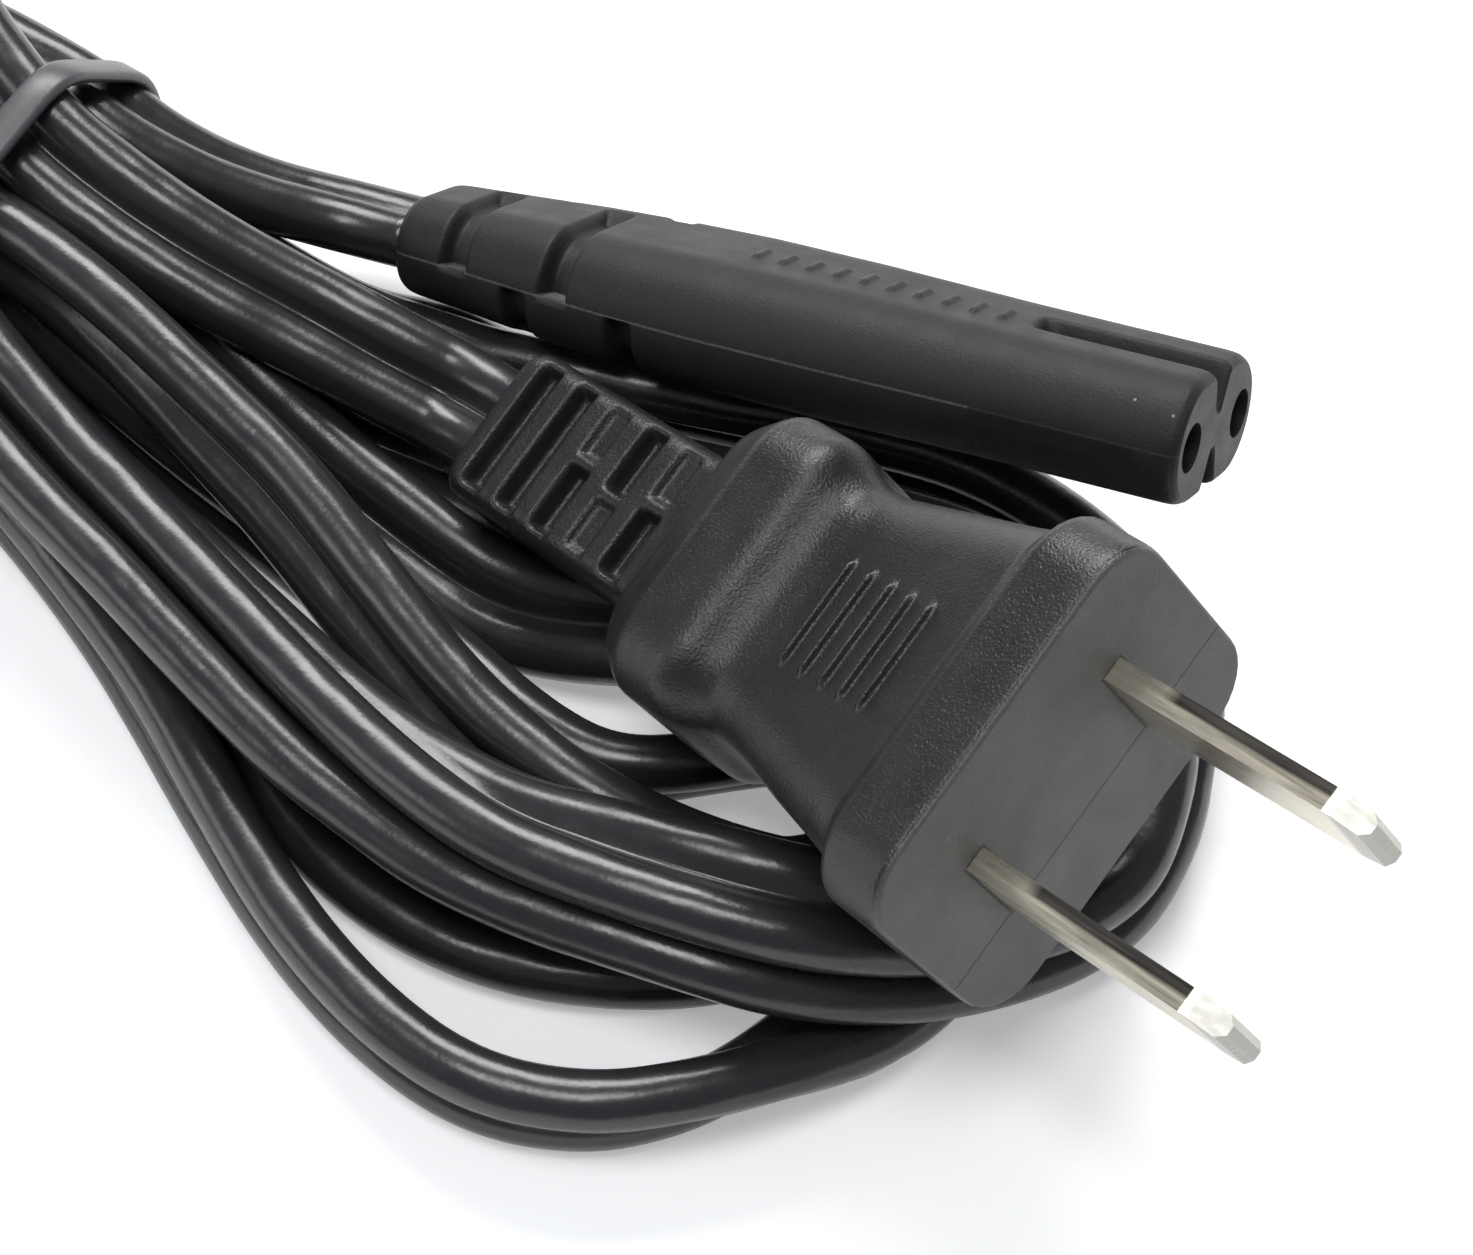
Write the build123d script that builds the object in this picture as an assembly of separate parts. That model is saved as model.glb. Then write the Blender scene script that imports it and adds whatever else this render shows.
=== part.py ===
"""Power cord tied in a hank: a two-blade plug, a two-hole appliance connector and a flat twin cord.

Lengths are in millimetres. The object lies on the floor, which is z = 0. The hank runs along X, and its
loops and both mouldings lie towards +X. The plug and the connector are drawn in frames of their own, with
X out of the mouth or face, and are then placed where they lie.
"""

import math
import os

from build123d import *

# Plug: face, grip, shoulder and strain relief
PLUG_FACE_W = 25.4
PLUG_FACE_H = 18.9
PLUG_FACE_R = 4.0
PLUG_FLANGE_T = 5.0
PLUG_RELIEF_END = -48.0
PLUG_RELIEF_W = 10.6
PLUG_RELIEF_H = 7.4
PLUG_WAIST_X = -17.0
PLUG_SHOULDER_END = -28.5
RELIEF_SLOT_W = 1.7
RELIEF_SLOT_LENGTH = 8.6
RELIEF_SLOT_DEPTH = 1.4
RIB_COUNT = 5
RIB_LENGTH = 6.9
RIB_W = 0.7
RIB_RISE = 0.4
RIB_PITCH = 1.77

# Blades
BLADE_SPACING = 12.7
BLADE_W = 6.35
BLADE_T = 1.5
BLADE_LENGTH = 17.8
BLADE_TAPER = 2.5
BLADE_TIP_W = 4.1
BLADE_BARREL_Y = 4.3
BLADE_BARREL_R = 1.7

# Connector: two lobes with a groove between them
LOBE_R = 4.0
LOBE_Y = 2.85
CONNECTOR_LENGTH = 55.0
CONNECTOR_GRIP_END = -37.0
PIN_HOLE_SPACING = 8.6
PIN_HOLE_R = 1.55
PIN_HOLE_WALL = 3.0
GROOVE_LENGTH = 12.5
SLEEVE_OUTER_R = 1.8
SLEEVE_INNER_R = 1.35
CARRIER_ROD_R = 2.1
SLEEVE_BARREL_R = 1.25

# Flat twin cord
CORD_W = 7.4
CORD_T = 3.7
CORE_R = 1.83
CORE_Y = 1.87
CONDUCTOR_R = 0.6
WEB_T = 1.8

# Hank
HANK_H = 7.4
LEFT_H = 15.2
HANK_EDGE_R = 1.6
BAND_W = 13.0
BAND_H = 8.6
TIE_X = 10.3
TIE_W = 2.4
TIE_T = 1.1
TIE_TAIL = 15.0
TIE_WIRE = 0.55
WAIST_W = 26.2
WAIST_H = 16.4
WAIST_R = 5.0
WAIST_Y = -12.9
CLEARANCE = 0.3

# The finished object's origin is the middle of its bounding box, on the floor
ORIGIN_SHIFT = Vector(-23.7046, 12.8598, 0.0)

# Where the plug and the connector lie
PLUG_PLACE = Location((90.81, -15.72, 24.0)) * Rot(Z=-11.53) * Rot(Y=-18.26) * Rot(X=20.61)
CONNECTOR_PLACE = Location((84.56, 12.80, 17.86)) * Rot(Z=9.25) * Rot(Y=-11.7) * Rot(X=-36.82)


def section(x, width, height, radius, y=0.0, z=0.0):
    """A rounded rectangle across the X axis: width along Y, height along Z."""
    plane = Plane(origin=(x, y, z), x_dir=(0, 1, 0), z_dir=(1, 0, 0))
    return plane * RectangleRounded(width, height, radius)


def block(x0, x1, width, height, radius, y=0.0, z=0.0):
    """A rounded bar from x0 to x1."""
    return extrude(section(x0, width, height, radius, y, z), amount=x1 - x0, dir=(1, 0, 0))


def rod(x0, x1, radius, y=0.0, z=0.0):
    """A round bar from x0 to x1."""
    plane = Plane(origin=(x0, y, z), x_dir=(0, 1, 0), z_dir=(1, 0, 0))
    return extrude(plane * Circle(radius), amount=x1 - x0, dir=(1, 0, 0))


def bend_radii(points):
    """For each inner corner, the largest arc that keeps its tangent points clear of its neighbours'."""
    radii = []
    for before, corner, after in zip(points, points[1:], points[2:]):
        arriving = Vector(*corner) - Vector(*before)
        leaving = Vector(*after) - Vector(*corner)
        half_turn = math.radians(arriving.get_angle(leaving)) / 2
        shorter = min(arriving.length, leaving.length)
        radii.append(0.45 * shorter / math.tan(half_turn))
    return radii


def route(points):
    """A path of straight runs joined by arcs."""
    return FilletPolyline(*points, radius=bend_radii(points))


def start_plane(points, across):
    """The plane at a route's start, with X along the flat cord's width."""
    along = (Vector(*points[1]) - Vector(*points[0])).normalized()
    width = (across - along * across.dot(along)).normalized()
    return Plane(origin=points[0], x_dir=width, z_dir=along)


def round_tube(points, radius):
    """A round solid along a route."""
    across = Vector(0, 1, 0)
    return sweep(start_plane(points, across) * Circle(radius), path=route(points))


def twin_section(grow=0.0):
    """The flat twin cord's outline: two round cores joined by a web."""
    cores = Pos(-CORE_Y, 0) * Circle(CORE_R + grow) + Pos(CORE_Y, 0) * Circle(CORE_R + grow)
    return cores + Rectangle(2 * CORE_Y, WEB_T + 2 * grow)


def flat_tube(points, across, grow=0.0):
    """The flat twin cord along a route."""
    return sweep(start_plane(points, across) * twin_section(grow), path=route(points))


# Plug, in its own frame: X out of the face, Y along the face's long side
def plug_core_route(side):
    """One core's way from the strain relief's end to its crimp barrel."""
    return [
        (PLUG_RELIEF_END, side * CORE_Y, 0),
        (-28.0, side * CORE_Y, 0),
        (-20.5, side * BLADE_BARREL_Y, 0),
        (-14.5, side * BLADE_BARREL_Y, 0),
    ]


def make_plug_blade(side):
    y = side * BLADE_SPACING / 2
    outline = Polyline(
        (-7.0, -1.5),
        (-4.0, -1.5),
        (-4.0, -BLADE_W / 2),
        (BLADE_LENGTH - BLADE_TAPER, -BLADE_W / 2),
        (BLADE_LENGTH, -BLADE_TIP_W / 2),
        (BLADE_LENGTH, BLADE_TIP_W / 2),
        (BLADE_LENGTH - BLADE_TAPER, BLADE_W / 2),
        (-4.0, BLADE_W / 2),
        (-4.0, 1.5),
        (-7.0, 1.5),
        close=True,
    )
    face = Plane(origin=(0, y - BLADE_T / 2, 0), x_dir=(1, 0, 0), z_dir=(0, -1, 0)) * make_face(outline)
    strip = extrude(face, amount=BLADE_T, dir=(0, 1, 0))
    tip_edges = strip.edges().filter_by_position(Axis.X, BLADE_LENGTH - 0.01, BLADE_LENGTH + 0.01)
    strip = chamfer(tip_edges.filter_by(Axis.Z), 0.45)
    barrel = rod(-13.5, -5.0, BLADE_BARREL_R, side * BLADE_BARREL_Y)
    barrel -= rod(-13.5, -7.5, CONDUCTOR_R, side * BLADE_BARREL_Y)
    return strip + barrel


def make_plug_carrier(blades):
    carrier = block(-5.0, -1.6, 19.0, 11.5, 2.5)
    carrier += block(-12.5, -5.0, 14.8, 8.4, 1.6)
    for blade in blades:
        carrier -= blade
    for side in (-1, 1):
        carrier -= rod(-12.6, -5.0, BLADE_BARREL_R, side * BLADE_BARREL_Y)
    return carrier


def make_plug_cores():
    cores = []
    conductors = []
    for side in (-1, 1):
        points = plug_core_route(side)
        strands = round_tube(points, CONDUCTOR_R)
        cores.append(round_tube(points, CORE_R) - strands)
        conductors.append(strands + rod(-14.5, -9.0, CONDUCTOR_R, side * BLADE_BARREL_Y))
    return cores, conductors


def make_plug_body(blades):
    flange = block(-PLUG_FLANGE_T, 0, PLUG_FACE_W, PLUG_FACE_H, PLUG_FACE_R)
    rim = flange.edges().filter_by_position(Axis.X, -0.01, 0.01)
    flange = fillet(rim, 0.5)
    back_rim = flange.edges().filter_by_position(Axis.X, -PLUG_FLANGE_T - 0.01, -PLUG_FLANGE_T + 0.01)
    flange = fillet(back_rim, 1.2)
    grip = loft(
        [
            section(-4.0, 22.0, 18.4, 4.2),
            section(-7.5, 19.4, 16.9, 4.2),
            section(-12.0, 16.9, 14.4, 4.0),
            section(PLUG_WAIST_X, 14.8, 13.0, 3.8),
        ]
    )
    shoulder = loft(
        [
            section(PLUG_WAIST_X, 14.8, 13.0, 3.8),
            section(-19.6, 18.8, 15.0, 4.2),
            section(-23.0, 19.6, 16.0, 4.4),
            section(-26.4, 17.4, 13.8, 4.4),
            section(PLUG_SHOULDER_END, 12.0, 10.0, 3.0),
        ]
    )
    relief = block(PLUG_RELIEF_END, -24.0, PLUG_RELIEF_W, PLUG_RELIEF_H, 1.3)
    end_rim = relief.edges().filter_by_position(Axis.X, PLUG_RELIEF_END - 0.01, PLUG_RELIEF_END + 0.01)
    relief = fillet(end_rim, 0.6)
    body = flange + grip + shoulder + relief

    # Raised ribs on both broad faces of the waist
    for side in (-1, 1):
        for index in range(RIB_COUNT):
            x = -8.5 - index * RIB_PITCH
            rise = 7.75 - index * 0.28
            rib = Box(RIB_W, RIB_LENGTH, 2 * RIB_RISE)
            rib = fillet(rib.edges().filter_by(Axis.Z), 0.3)
            body += Pos(x, 0, side * rise) * rib

    # Staggered slots that leave a rail along each side of the strain relief
    full = RELIEF_SLOT_LENGTH
    half = full / 2
    deep = RELIEF_SLOT_DEPTH
    slots = [
        (-45.4, 0.0, full, deep),
        (-42.1, 0.0, full, deep),
        (-38.8, -half / 2, half, deep),
        (-38.8, half / 2 + 0.5, half - 1.0, 0.6),
        (-35.5, half / 2, half, deep),
        (-32.2, -half / 2, half, deep),
        (-28.9, half / 2, half, deep),
    ]
    for x, y, length, depth in slots:
        for side in (-1, 1):
            cutter = Box(RELIEF_SLOT_W, length, 2 * depth)
            cutter = fillet(cutter.edges().filter_by(Axis.Z), 0.4)
            body -= Pos(x, y, side * (PLUG_RELIEF_H / 2)) * cutter

    # Room for the sealed inner pieces
    body -= block(-5.0, -1.6, 19.0, 11.5, 2.5)
    body -= block(-12.5, -5.0, 14.8, 8.4, 1.6)
    for blade in blades:
        body -= blade
    for side in (-1, 1):
        body -= rod(-14.5, -5.0, BLADE_BARREL_R, side * BLADE_BARREL_Y)
        body -= round_tube(plug_core_route(side), CORE_R)
    return body


# Connector, in its own frame: X out of the mouth, Y from lobe to lobe
def connector_core_route(side):
    """One core's way from the strain relief's end to its crimp barrel."""
    return [
        (-CONNECTOR_LENGTH, side * CORE_Y, 0),
        (-35.0, side * CORE_Y, 0),
        (-25.0, side * PIN_HOLE_SPACING / 2, 0),
        (-19.0, side * PIN_HOLE_SPACING / 2, 0),
    ]


def make_contact_sleeve(side):
    y = side * PIN_HOLE_SPACING / 2
    sleeve = rod(-13.0, -PIN_HOLE_WALL, SLEEVE_OUTER_R, y)
    sleeve += rod(-18.0, -13.0, SLEEVE_BARREL_R, y)
    sleeve -= rod(-12.0, -PIN_HOLE_WALL, SLEEVE_INNER_R, y)
    sleeve -= rod(-18.0, -13.5, CONDUCTOR_R, y)
    return sleeve


def make_contact_carrier():
    carrier = block(-17.0, -PIN_HOLE_WALL, PIN_HOLE_SPACING, 1.8, 0.2)
    for side in (-1, 1):
        carrier += rod(-17.0, -PIN_HOLE_WALL, CARRIER_ROD_R, side * PIN_HOLE_SPACING / 2)
    hollow = carrier
    for side in (-1, 1):
        y = side * PIN_HOLE_SPACING / 2
        hollow -= rod(-13.0, -PIN_HOLE_WALL, SLEEVE_OUTER_R, y)
        hollow -= rod(-17.0, -13.0, SLEEVE_BARREL_R, y)
    return carrier, hollow


def make_connector_cores():
    cores = []
    conductors = []
    for side in (-1, 1):
        points = connector_core_route(side)
        strands = round_tube(points, CONDUCTOR_R)
        cores.append(round_tube(points, CORE_R) - strands)
        conductors.append(strands + rod(-19.0, -15.0, CONDUCTOR_R, side * PIN_HOLE_SPACING / 2))
    return cores, conductors


def make_connector_body(carrier_envelope):
    plane = Plane(origin=(CONNECTOR_GRIP_END, 0, 0), x_dir=(0, 1, 0), z_dir=(1, 0, 0))
    grip_width = 2 * (LOBE_Y + LOBE_R)
    grip = extrude(plane * SlotOverall(grip_width, 2 * LOBE_R), amount=-CONNECTOR_GRIP_END, dir=(1, 0, 0))
    mouth_rim = grip.edges().filter_by_position(Axis.X, -0.01, 0.01)
    grip = fillet(mouth_rim, 0.75)
    relief = loft(
        [
            section(-CONNECTOR_LENGTH, 9.2, 6.4, 2.9),
            section(CONNECTOR_GRIP_END, grip_width, 2 * LOBE_R, 3.95),
        ]
    )
    body = grip + relief

    # The groove between the lobes, on both broad faces, with a dished end
    straight = GROOVE_LENGTH - 1.3
    for side in (1, -1):
        corners = [(-1.3, side * 4.2), (1.3, side * 4.2), (0.35, side * 1.45), (-0.35, side * 1.45)]
        outline = Polyline(*corners, close=True)
        groove_plane = Plane(origin=(-straight, 0, 0), x_dir=(0, 1, 0), z_dir=(1, 0, 0))
        body -= extrude(groove_plane * make_face(outline), amount=GROOVE_LENGTH, dir=(1, 0, 0))
        dish = Cone(0.35, 1.3, 2.75) if side > 0 else Cone(1.3, 0.35, 2.75)
        body -= Pos(-straight, 0, side * 2.825) * dish

    # Staggered slots on the broad faces and on the narrow sides of the strain relief
    for x, reach in ((-49.6, 3.1), (-42.0, 3.6)):
        for side in (-1, 1):
            body -= Pos(x, 0, side * (reach + 0.6)) * Box(1.8, 9.0, 2.0)
    for x, reach in ((-45.4, 5.0), (-37.6, 6.3)):
        for side in (-1, 1):
            body -= Pos(x, side * (reach + 0.6), 0) * Box(1.8, 2.0, 5.6)

    # Pin holes, and room for the sealed inner pieces
    body -= carrier_envelope
    for side in (-1, 1):
        y = side * PIN_HOLE_SPACING / 2
        body -= rod(-PIN_HOLE_WALL, 1.0, PIN_HOLE_R, y)
        body -= rod(-19.0, -17.0, SLEEVE_BARREL_R, y)
        body -= round_tube(connector_core_route(side), CORE_R)
    return body


# Leads from the mouldings to the hank
def lead_points(place, end_x, first_run, rest):
    """A route that leaves a strain relief straight along its axis."""
    out = place * Pos(end_x, 0, 0)
    after = place * Pos(end_x - first_run, 0, 0)
    return [tuple(out.position), tuple(after.position)] + rest


def frame_axis(place, axis):
    """One axis of a placed frame."""
    origin = place.position
    return (place * Pos(*axis)).position - origin


def entry_stub(lead, end, depth):
    """The hank's own cord, from the lead's end face inwards."""
    face = lead.faces().sort_by_distance(Vector(*end))[0]
    inwards = face.normal_at()
    return extrude(face, amount=depth, dir=inwards)


def make_leads():
    plug_points = lead_points(
        PLUG_PLACE, PLUG_RELIEF_END, 7.0, [(30.6, -6.6, 7.6), (23.0, -8.5, 10.2), (16.5, -9.4, 12.7)]
    )
    connector_points = lead_points(
        CONNECTOR_PLACE, -CONNECTOR_LENGTH, 5.2, [(21.4, -0.4, 6.6), (16.4, -2.0, 8.8)]
    )
    plug_across = frame_axis(PLUG_PLACE, (0, 1, 0))
    connector_across = frame_axis(CONNECTOR_PLACE, (0, 1, 0))
    plug_lead = flat_tube(plug_points, plug_across)
    connector_lead = flat_tube(connector_points, connector_across)
    plug_room = flat_tube(plug_points, plug_across, CLEARANCE)
    connector_room = flat_tube(connector_points, connector_across, CLEARANCE)
    for name, points in (("plug lead", plug_points), ("connector lead", connector_points)):
        print(name, "bend radii", [round(radius, 1) for radius in bend_radii(points)])
    stubs = [entry_stub(plug_lead, plug_points[-1], 6.0), entry_stub(connector_lead, connector_points[-1], 6.0)]
    return plug_lead, connector_lead, stubs, [plug_room, connector_room]


# Hank: the loops on the right, the bundle through the tie, and the loops on the left
RIGHT_FAN = [
    (10.0, -26.2),
    (18.0, -28.2),
    (26.0, -30.4),
    (34.0, -33.6),
    (42.0, -37.4),
    (50.0, -41.0),
    (58.0, -43.8),
    (66.0, -44.6),
    (73.0, -43.0),
    (79.0, -38.4),
    (84.2, -31.8),
    (89.6, -26.6),
    (93.8, -21.6),
    (96.0, -15.6),
    (96.2, -8.8),
    (94.4, -1.6),
    (90.2, 5.0),
    (84.0, 9.4),
    (77.0, 11.4),
    (68.0, 11.6),
    (58.0, 9.0),
    (48.0, 6.0),
    (38.0, 3.6),
    (28.0, 1.6),
    (18.0, 0.6),
    (10.0, 0.4),
]
LEFT_FAN = [
    (0.0, -27.0),
    (-10.0, -29.8),
    (-20.0, -32.4),
    (-30.0, -33.8),
    (-38.0, -34.1),
    (-46.0, -32.4),
    (-54.2, -27.4),
    (-59.4, -20.0),
    (-61.2, -11.0),
    (-59.2, -3.6),
    (-53.4, 3.8),
    (-46.0, 7.8),
    (-38.0, 9.5),
    (-28.0, 9.6),
    (-18.0, 7.8),
    (-8.0, 5.0),
    (0.0, 2.2),
]
LOOP_EYE = [
    (40.0, -14.8),
    (46.0, -14.6),
    (52.0, -14.4),
    (58.0, -13.4),
    (64.0, -11.2),
    (68.6, -10.8),
    (70.0, -12.8),
    (68.0, -15.2),
    (64.2, -17.8),
    (58.0, -18.4),
    (51.0, -17.4),
    (45.0, -16.2),
]
FRONT_EYE = [
    (54.0, -37.7),
    (60.0, -39.4),
    (66.0, -40.0),
    (72.0, -38.4),
    (77.4, -34.2),
    (79.4, -31.6),
    (74.0, -32.8),
    (67.0, -35.8),
    (60.0, -37.5),
]
LEFT_EYE = [
    (-20.0, -11.6),
    (-26.0, -14.8),
    (-33.0, -15.4),
    (-38.2, -13.0),
    (-39.8, -9.8),
    (-37.8, -7.2),
    (-32.4, -6.4),
    (-25.0, -8.2),
]
BAND_ROUTE = [
    (12.0, -18.6, 11.9),
    (26.0, -21.6, 10.6),
    (42.0, -25.2, 9.3),
    (57.0, -28.3, 9.4),
    (71.0, -27.6, 9.6),
    (80.0, -24.8, 9.2),
    (87.2, -18.6, 7.4),
    (88.8, -11.0, 6.4),
    (86.4, -3.6, 5.2),
]


def slab(points, height):
    """A flat rounded plate with this closed outline, standing on the floor."""
    outline = Spline(*points, periodic=True)
    plate = extrude(make_face(outline), amount=height)
    return fillet(plate.edges().group_by(Axis.Z)[-1] + plate.edges().group_by(Axis.Z)[0], HANK_EDGE_R)


def eye(points):
    """The open middle of a loop."""
    return Pos(0, 0, -1) * extrude(make_face(Spline(*points, periodic=True)), amount=LEFT_H + 4)


def raised_band():
    """The strands that lie on top of the right loops, from the tie round under the plug."""
    start = Plane(origin=BAND_ROUTE[0], x_dir=(0, 1, 0), z_dir=(1, 0, 0))
    return sweep(start * RectangleRounded(BAND_W, BAND_H, 3.0), path=route(BAND_ROUTE))


def make_hank(stubs, rooms):
    hank = slab(RIGHT_FAN, HANK_H)
    hank += slab(LEFT_FAN, LEFT_H)
    centre_z = TIE_T + WAIST_H / 2
    bundle = loft(
        [
            section(32.0, 30.0, 6.4, 2.2, -16.0, 3.7),
            section(23.0, 27.4, 10.0, 3.6, -14.0, 5.6),
            section(14.0, WAIST_W, WAIST_H, WAIST_R, WAIST_Y, centre_z),
        ]
    )
    tail = loft(
        [
            section(5.0, WAIST_W, WAIST_H, WAIST_R, WAIST_Y, centre_z),
            section(-6.0, 30.0, 19.0, 5.0, -12.6, 10.1),
            section(-17.0, 32.0, 17.4, 4.6, -12.6, 9.1),
            section(-29.0, 34.0, 14.6, 4.0, -12.4, 7.6),
        ]
    )
    waist = block(5.0, 14.0, WAIST_W, WAIST_H, WAIST_R, WAIST_Y, centre_z)
    hank += bundle
    hank += tail
    hank += waist
    hank += raised_band()
    for stub in stubs:
        hank += stub
    hank -= eye(LOOP_EYE)
    hank -= eye(FRONT_EYE)
    hank -= eye(LEFT_EYE)
    for room in rooms:
        hank -= room
    return hank


def waist_ring(x0, width, inside, outside):
    """A band round the bundle's waist, from one distance off its surface to another."""
    middle = TIE_T + WAIST_H / 2
    outer = block(
        x0, x0 + width, WAIST_W + 2 * outside, WAIST_H + 2 * outside, WAIST_R + outside, WAIST_Y, middle
    )
    inner = block(
        x0, x0 + width, WAIST_W + 2 * inside, WAIST_H + 2 * inside, WAIST_R + inside, WAIST_Y, middle
    )
    return outer - inner


def tie_rooms():
    """The space that the tie's ring and its twisted tail need in the hank."""
    ring = waist_ring(TIE_X - TIE_W / 2 - CLEARANCE, TIE_W + 2 * CLEARANCE, 0.0, 12.0)
    tail_z = 2 * TIE_T + WAIST_H + 0.8
    tail = block(TIE_X - TIE_TAIL - CLEARANCE, TIE_X, 3.0, 3.0, 1.3, WAIST_Y - 4.0, tail_z)
    return [ring, tail]


def make_tie():
    x0 = TIE_X - TIE_W / 2
    ring = waist_ring(x0, TIE_W, 0.0, TIE_T)

    # The two ends are twisted together and lie back over the bundle
    tail_y = WAIST_Y - 4.0
    top_z = TIE_T + WAIST_H + TIE_T
    tail_z = top_z + 0.8
    tail = rod(TIE_X - TIE_TAIL, TIE_X + TIE_W / 2, 1.2, tail_y, tail_z)
    ribbon = ring + fillet(tail.edges(), 0.4)

    # The wire runs round inside the ribbon, and both its ends run out along the twist
    wire = waist_ring(TIE_X - TIE_WIRE / 2, TIE_WIRE, (TIE_T - TIE_WIRE) / 2, (TIE_T + TIE_WIRE) / 2)
    low_z = top_z - TIE_T / 2
    for y in (tail_y - 0.55, tail_y + 0.55):
        riser = Box(TIE_WIRE, TIE_WIRE, tail_z - low_z)
        end = Box(TIE_TAIL - 0.8, TIE_WIRE, TIE_WIRE)
        wire += Pos(TIE_X, y, (low_z + tail_z) / 2) * riser
        wire += Pos(TIE_X + TIE_WIRE / 2 - (TIE_TAIL - 0.8) / 2, y, tail_z) * end
    return ribbon - wire, wire


def main():
    os.makedirs("parts", exist_ok=True)
    nodes = {}

    blades = [make_plug_blade(-1), make_plug_blade(1)]
    plug_cores, plug_conductors = make_plug_cores()
    plug = {
        "plug_body": make_plug_body(blades),
        "plug_blade_carrier": make_plug_carrier(blades),
        "plug_blade_left": blades[0],
        "plug_blade_right": blades[1],
        "plug_core_left": plug_cores[0],
        "plug_core_right": plug_cores[1],
        "plug_conductor_left": plug_conductors[0],
        "plug_conductor_right": plug_conductors[1],
    }
    for name, shape in plug.items():
        nodes[name] = PLUG_PLACE * shape

    envelope, carrier = make_contact_carrier()
    connector_cores, connector_conductors = make_connector_cores()
    connector = {
        "connector_body": make_connector_body(envelope),
        "connector_contact_carrier": carrier,
        "contact_sleeve_left": make_contact_sleeve(-1),
        "contact_sleeve_right": make_contact_sleeve(1),
        "connector_core_left": connector_cores[0],
        "connector_core_right": connector_cores[1],
        "connector_conductor_left": connector_conductors[0],
        "connector_conductor_right": connector_conductors[1],
    }
    for name, shape in connector.items():
        nodes[name] = CONNECTOR_PLACE * shape

    plug_lead, connector_lead, stubs, rooms = make_leads()
    nodes["cord_plug_lead"] = plug_lead
    nodes["cord_connector_lead"] = connector_lead
    relief_w = PLUG_RELIEF_W + 2 * CLEARANCE
    relief_h = PLUG_RELIEF_H + 2 * CLEARANCE
    relief_room = block(PLUG_RELIEF_END - CLEARANCE, -24.0, relief_w, relief_h, 1.5)
    shoulder_room = block(-30.0, -12.0, 20.2, 16.6, 4.4)
    neck_room = block(-12.5, -5.5, 21.4, 18.2, 4.4)
    grip_w = 2 * (LOBE_Y + LOBE_R + CLEARANCE)
    tail_room = loft(
        [
            section(-CONNECTOR_LENGTH - CLEARANCE, 9.8, 7.0, 3.1),
            section(CONNECTOR_GRIP_END, grip_w, 2 * (LOBE_R + CLEARANCE), 4.2),
            section(0.0, grip_w, 2 * (LOBE_R + CLEARANCE), 4.2),
        ],
        ruled=True,
    )
    flange_room = block(-6.0, 1.0, PLUG_FACE_W + 2 * CLEARANCE, PLUG_FACE_H + 2 * CLEARANCE, PLUG_FACE_R)
    rooms += [
        PLUG_PLACE * relief_room,
        PLUG_PLACE * shoulder_room,
        PLUG_PLACE * neck_room,
        PLUG_PLACE * flange_room,
        CONNECTOR_PLACE * tail_room,
    ]
    rooms += tie_rooms()
    nodes["cord_hank"] = make_hank(stubs, rooms)

    ribbon, wire = make_tie()
    nodes["tie_ribbon"] = ribbon
    nodes["tie_wire"] = wire

    low = Vector(1e9, 1e9, 1e9)
    high = Vector(-1e9, -1e9, -1e9)
    for name, shape in nodes.items():
        solid = Pos(ORIGIN_SHIFT) * shape
        box = solid.bounding_box()
        print(
            f"{name:28s} solids {len(solid.solids())} volume {solid.volume:9.1f}"
            f"  x {box.min.X:7.2f} {box.max.X:7.2f}  y {box.min.Y:7.2f} {box.max.Y:7.2f}"
            f"  z {box.min.Z:6.2f} {box.max.Z:6.2f} valid {solid.is_valid}"
        )
        low = Vector(min(low.X, box.min.X), min(low.Y, box.min.Y), min(low.Z, box.min.Z))
        high = Vector(max(high.X, box.max.X), max(high.Y, box.max.Y), max(high.Z, box.max.Z))
        export_step(solid, f"parts/{name}.step")
    middle = (low + high) * 0.5
    print(f"size {high.X - low.X:.3f} {high.Y - low.Y:.3f} {high.Z - low.Z:.3f}")
    print(f"bounding box middle {middle.X:.4f} {middle.Y:.4f}, lowest point {low.Z:.4f}")


main()
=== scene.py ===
# %% [markdown]
# # A flat power cord, tied in a hank
#
# The object is a plug with two flat blades, a connector with two round holes, and one flat twin cord
# between them, folded into a hank and held by a twist tie. It lies on a white table. The CAD model gives
# every rigid piece, and this file adds what CAD does badly: the real cord, the tie, the soft skins of the
# two mouldings, and the finishes. Everything is in the CAD model's own frame, so nothing here is fitted or
# moved. Blender works in metres, and sizes are written in millimetres times MM.

# %% Load the CAD model and keep its box
import math

import bmesh
import bpy
from mathutils import Matrix, Vector


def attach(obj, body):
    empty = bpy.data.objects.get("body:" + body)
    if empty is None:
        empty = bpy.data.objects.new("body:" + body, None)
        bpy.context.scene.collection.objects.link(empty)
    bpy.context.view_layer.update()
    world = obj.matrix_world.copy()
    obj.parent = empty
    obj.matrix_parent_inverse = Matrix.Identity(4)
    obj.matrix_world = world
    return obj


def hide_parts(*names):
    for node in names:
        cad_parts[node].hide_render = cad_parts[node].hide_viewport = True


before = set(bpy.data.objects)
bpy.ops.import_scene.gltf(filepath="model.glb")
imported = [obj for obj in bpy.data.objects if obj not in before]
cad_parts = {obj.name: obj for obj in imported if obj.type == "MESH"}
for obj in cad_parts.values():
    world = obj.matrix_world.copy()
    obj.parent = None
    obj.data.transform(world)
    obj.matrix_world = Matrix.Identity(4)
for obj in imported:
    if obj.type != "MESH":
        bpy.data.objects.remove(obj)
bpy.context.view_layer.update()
MM = 0.001

# %% [markdown]
# ## Camera
#
# The picture was taken from above the plug's blades, about 60 degrees over the table, with a longish
# lens. The camera's right, up and back directions are written out as the columns of its matrix, which is
# the plainest way to repeat a view that was worked out from the picture.

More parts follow.
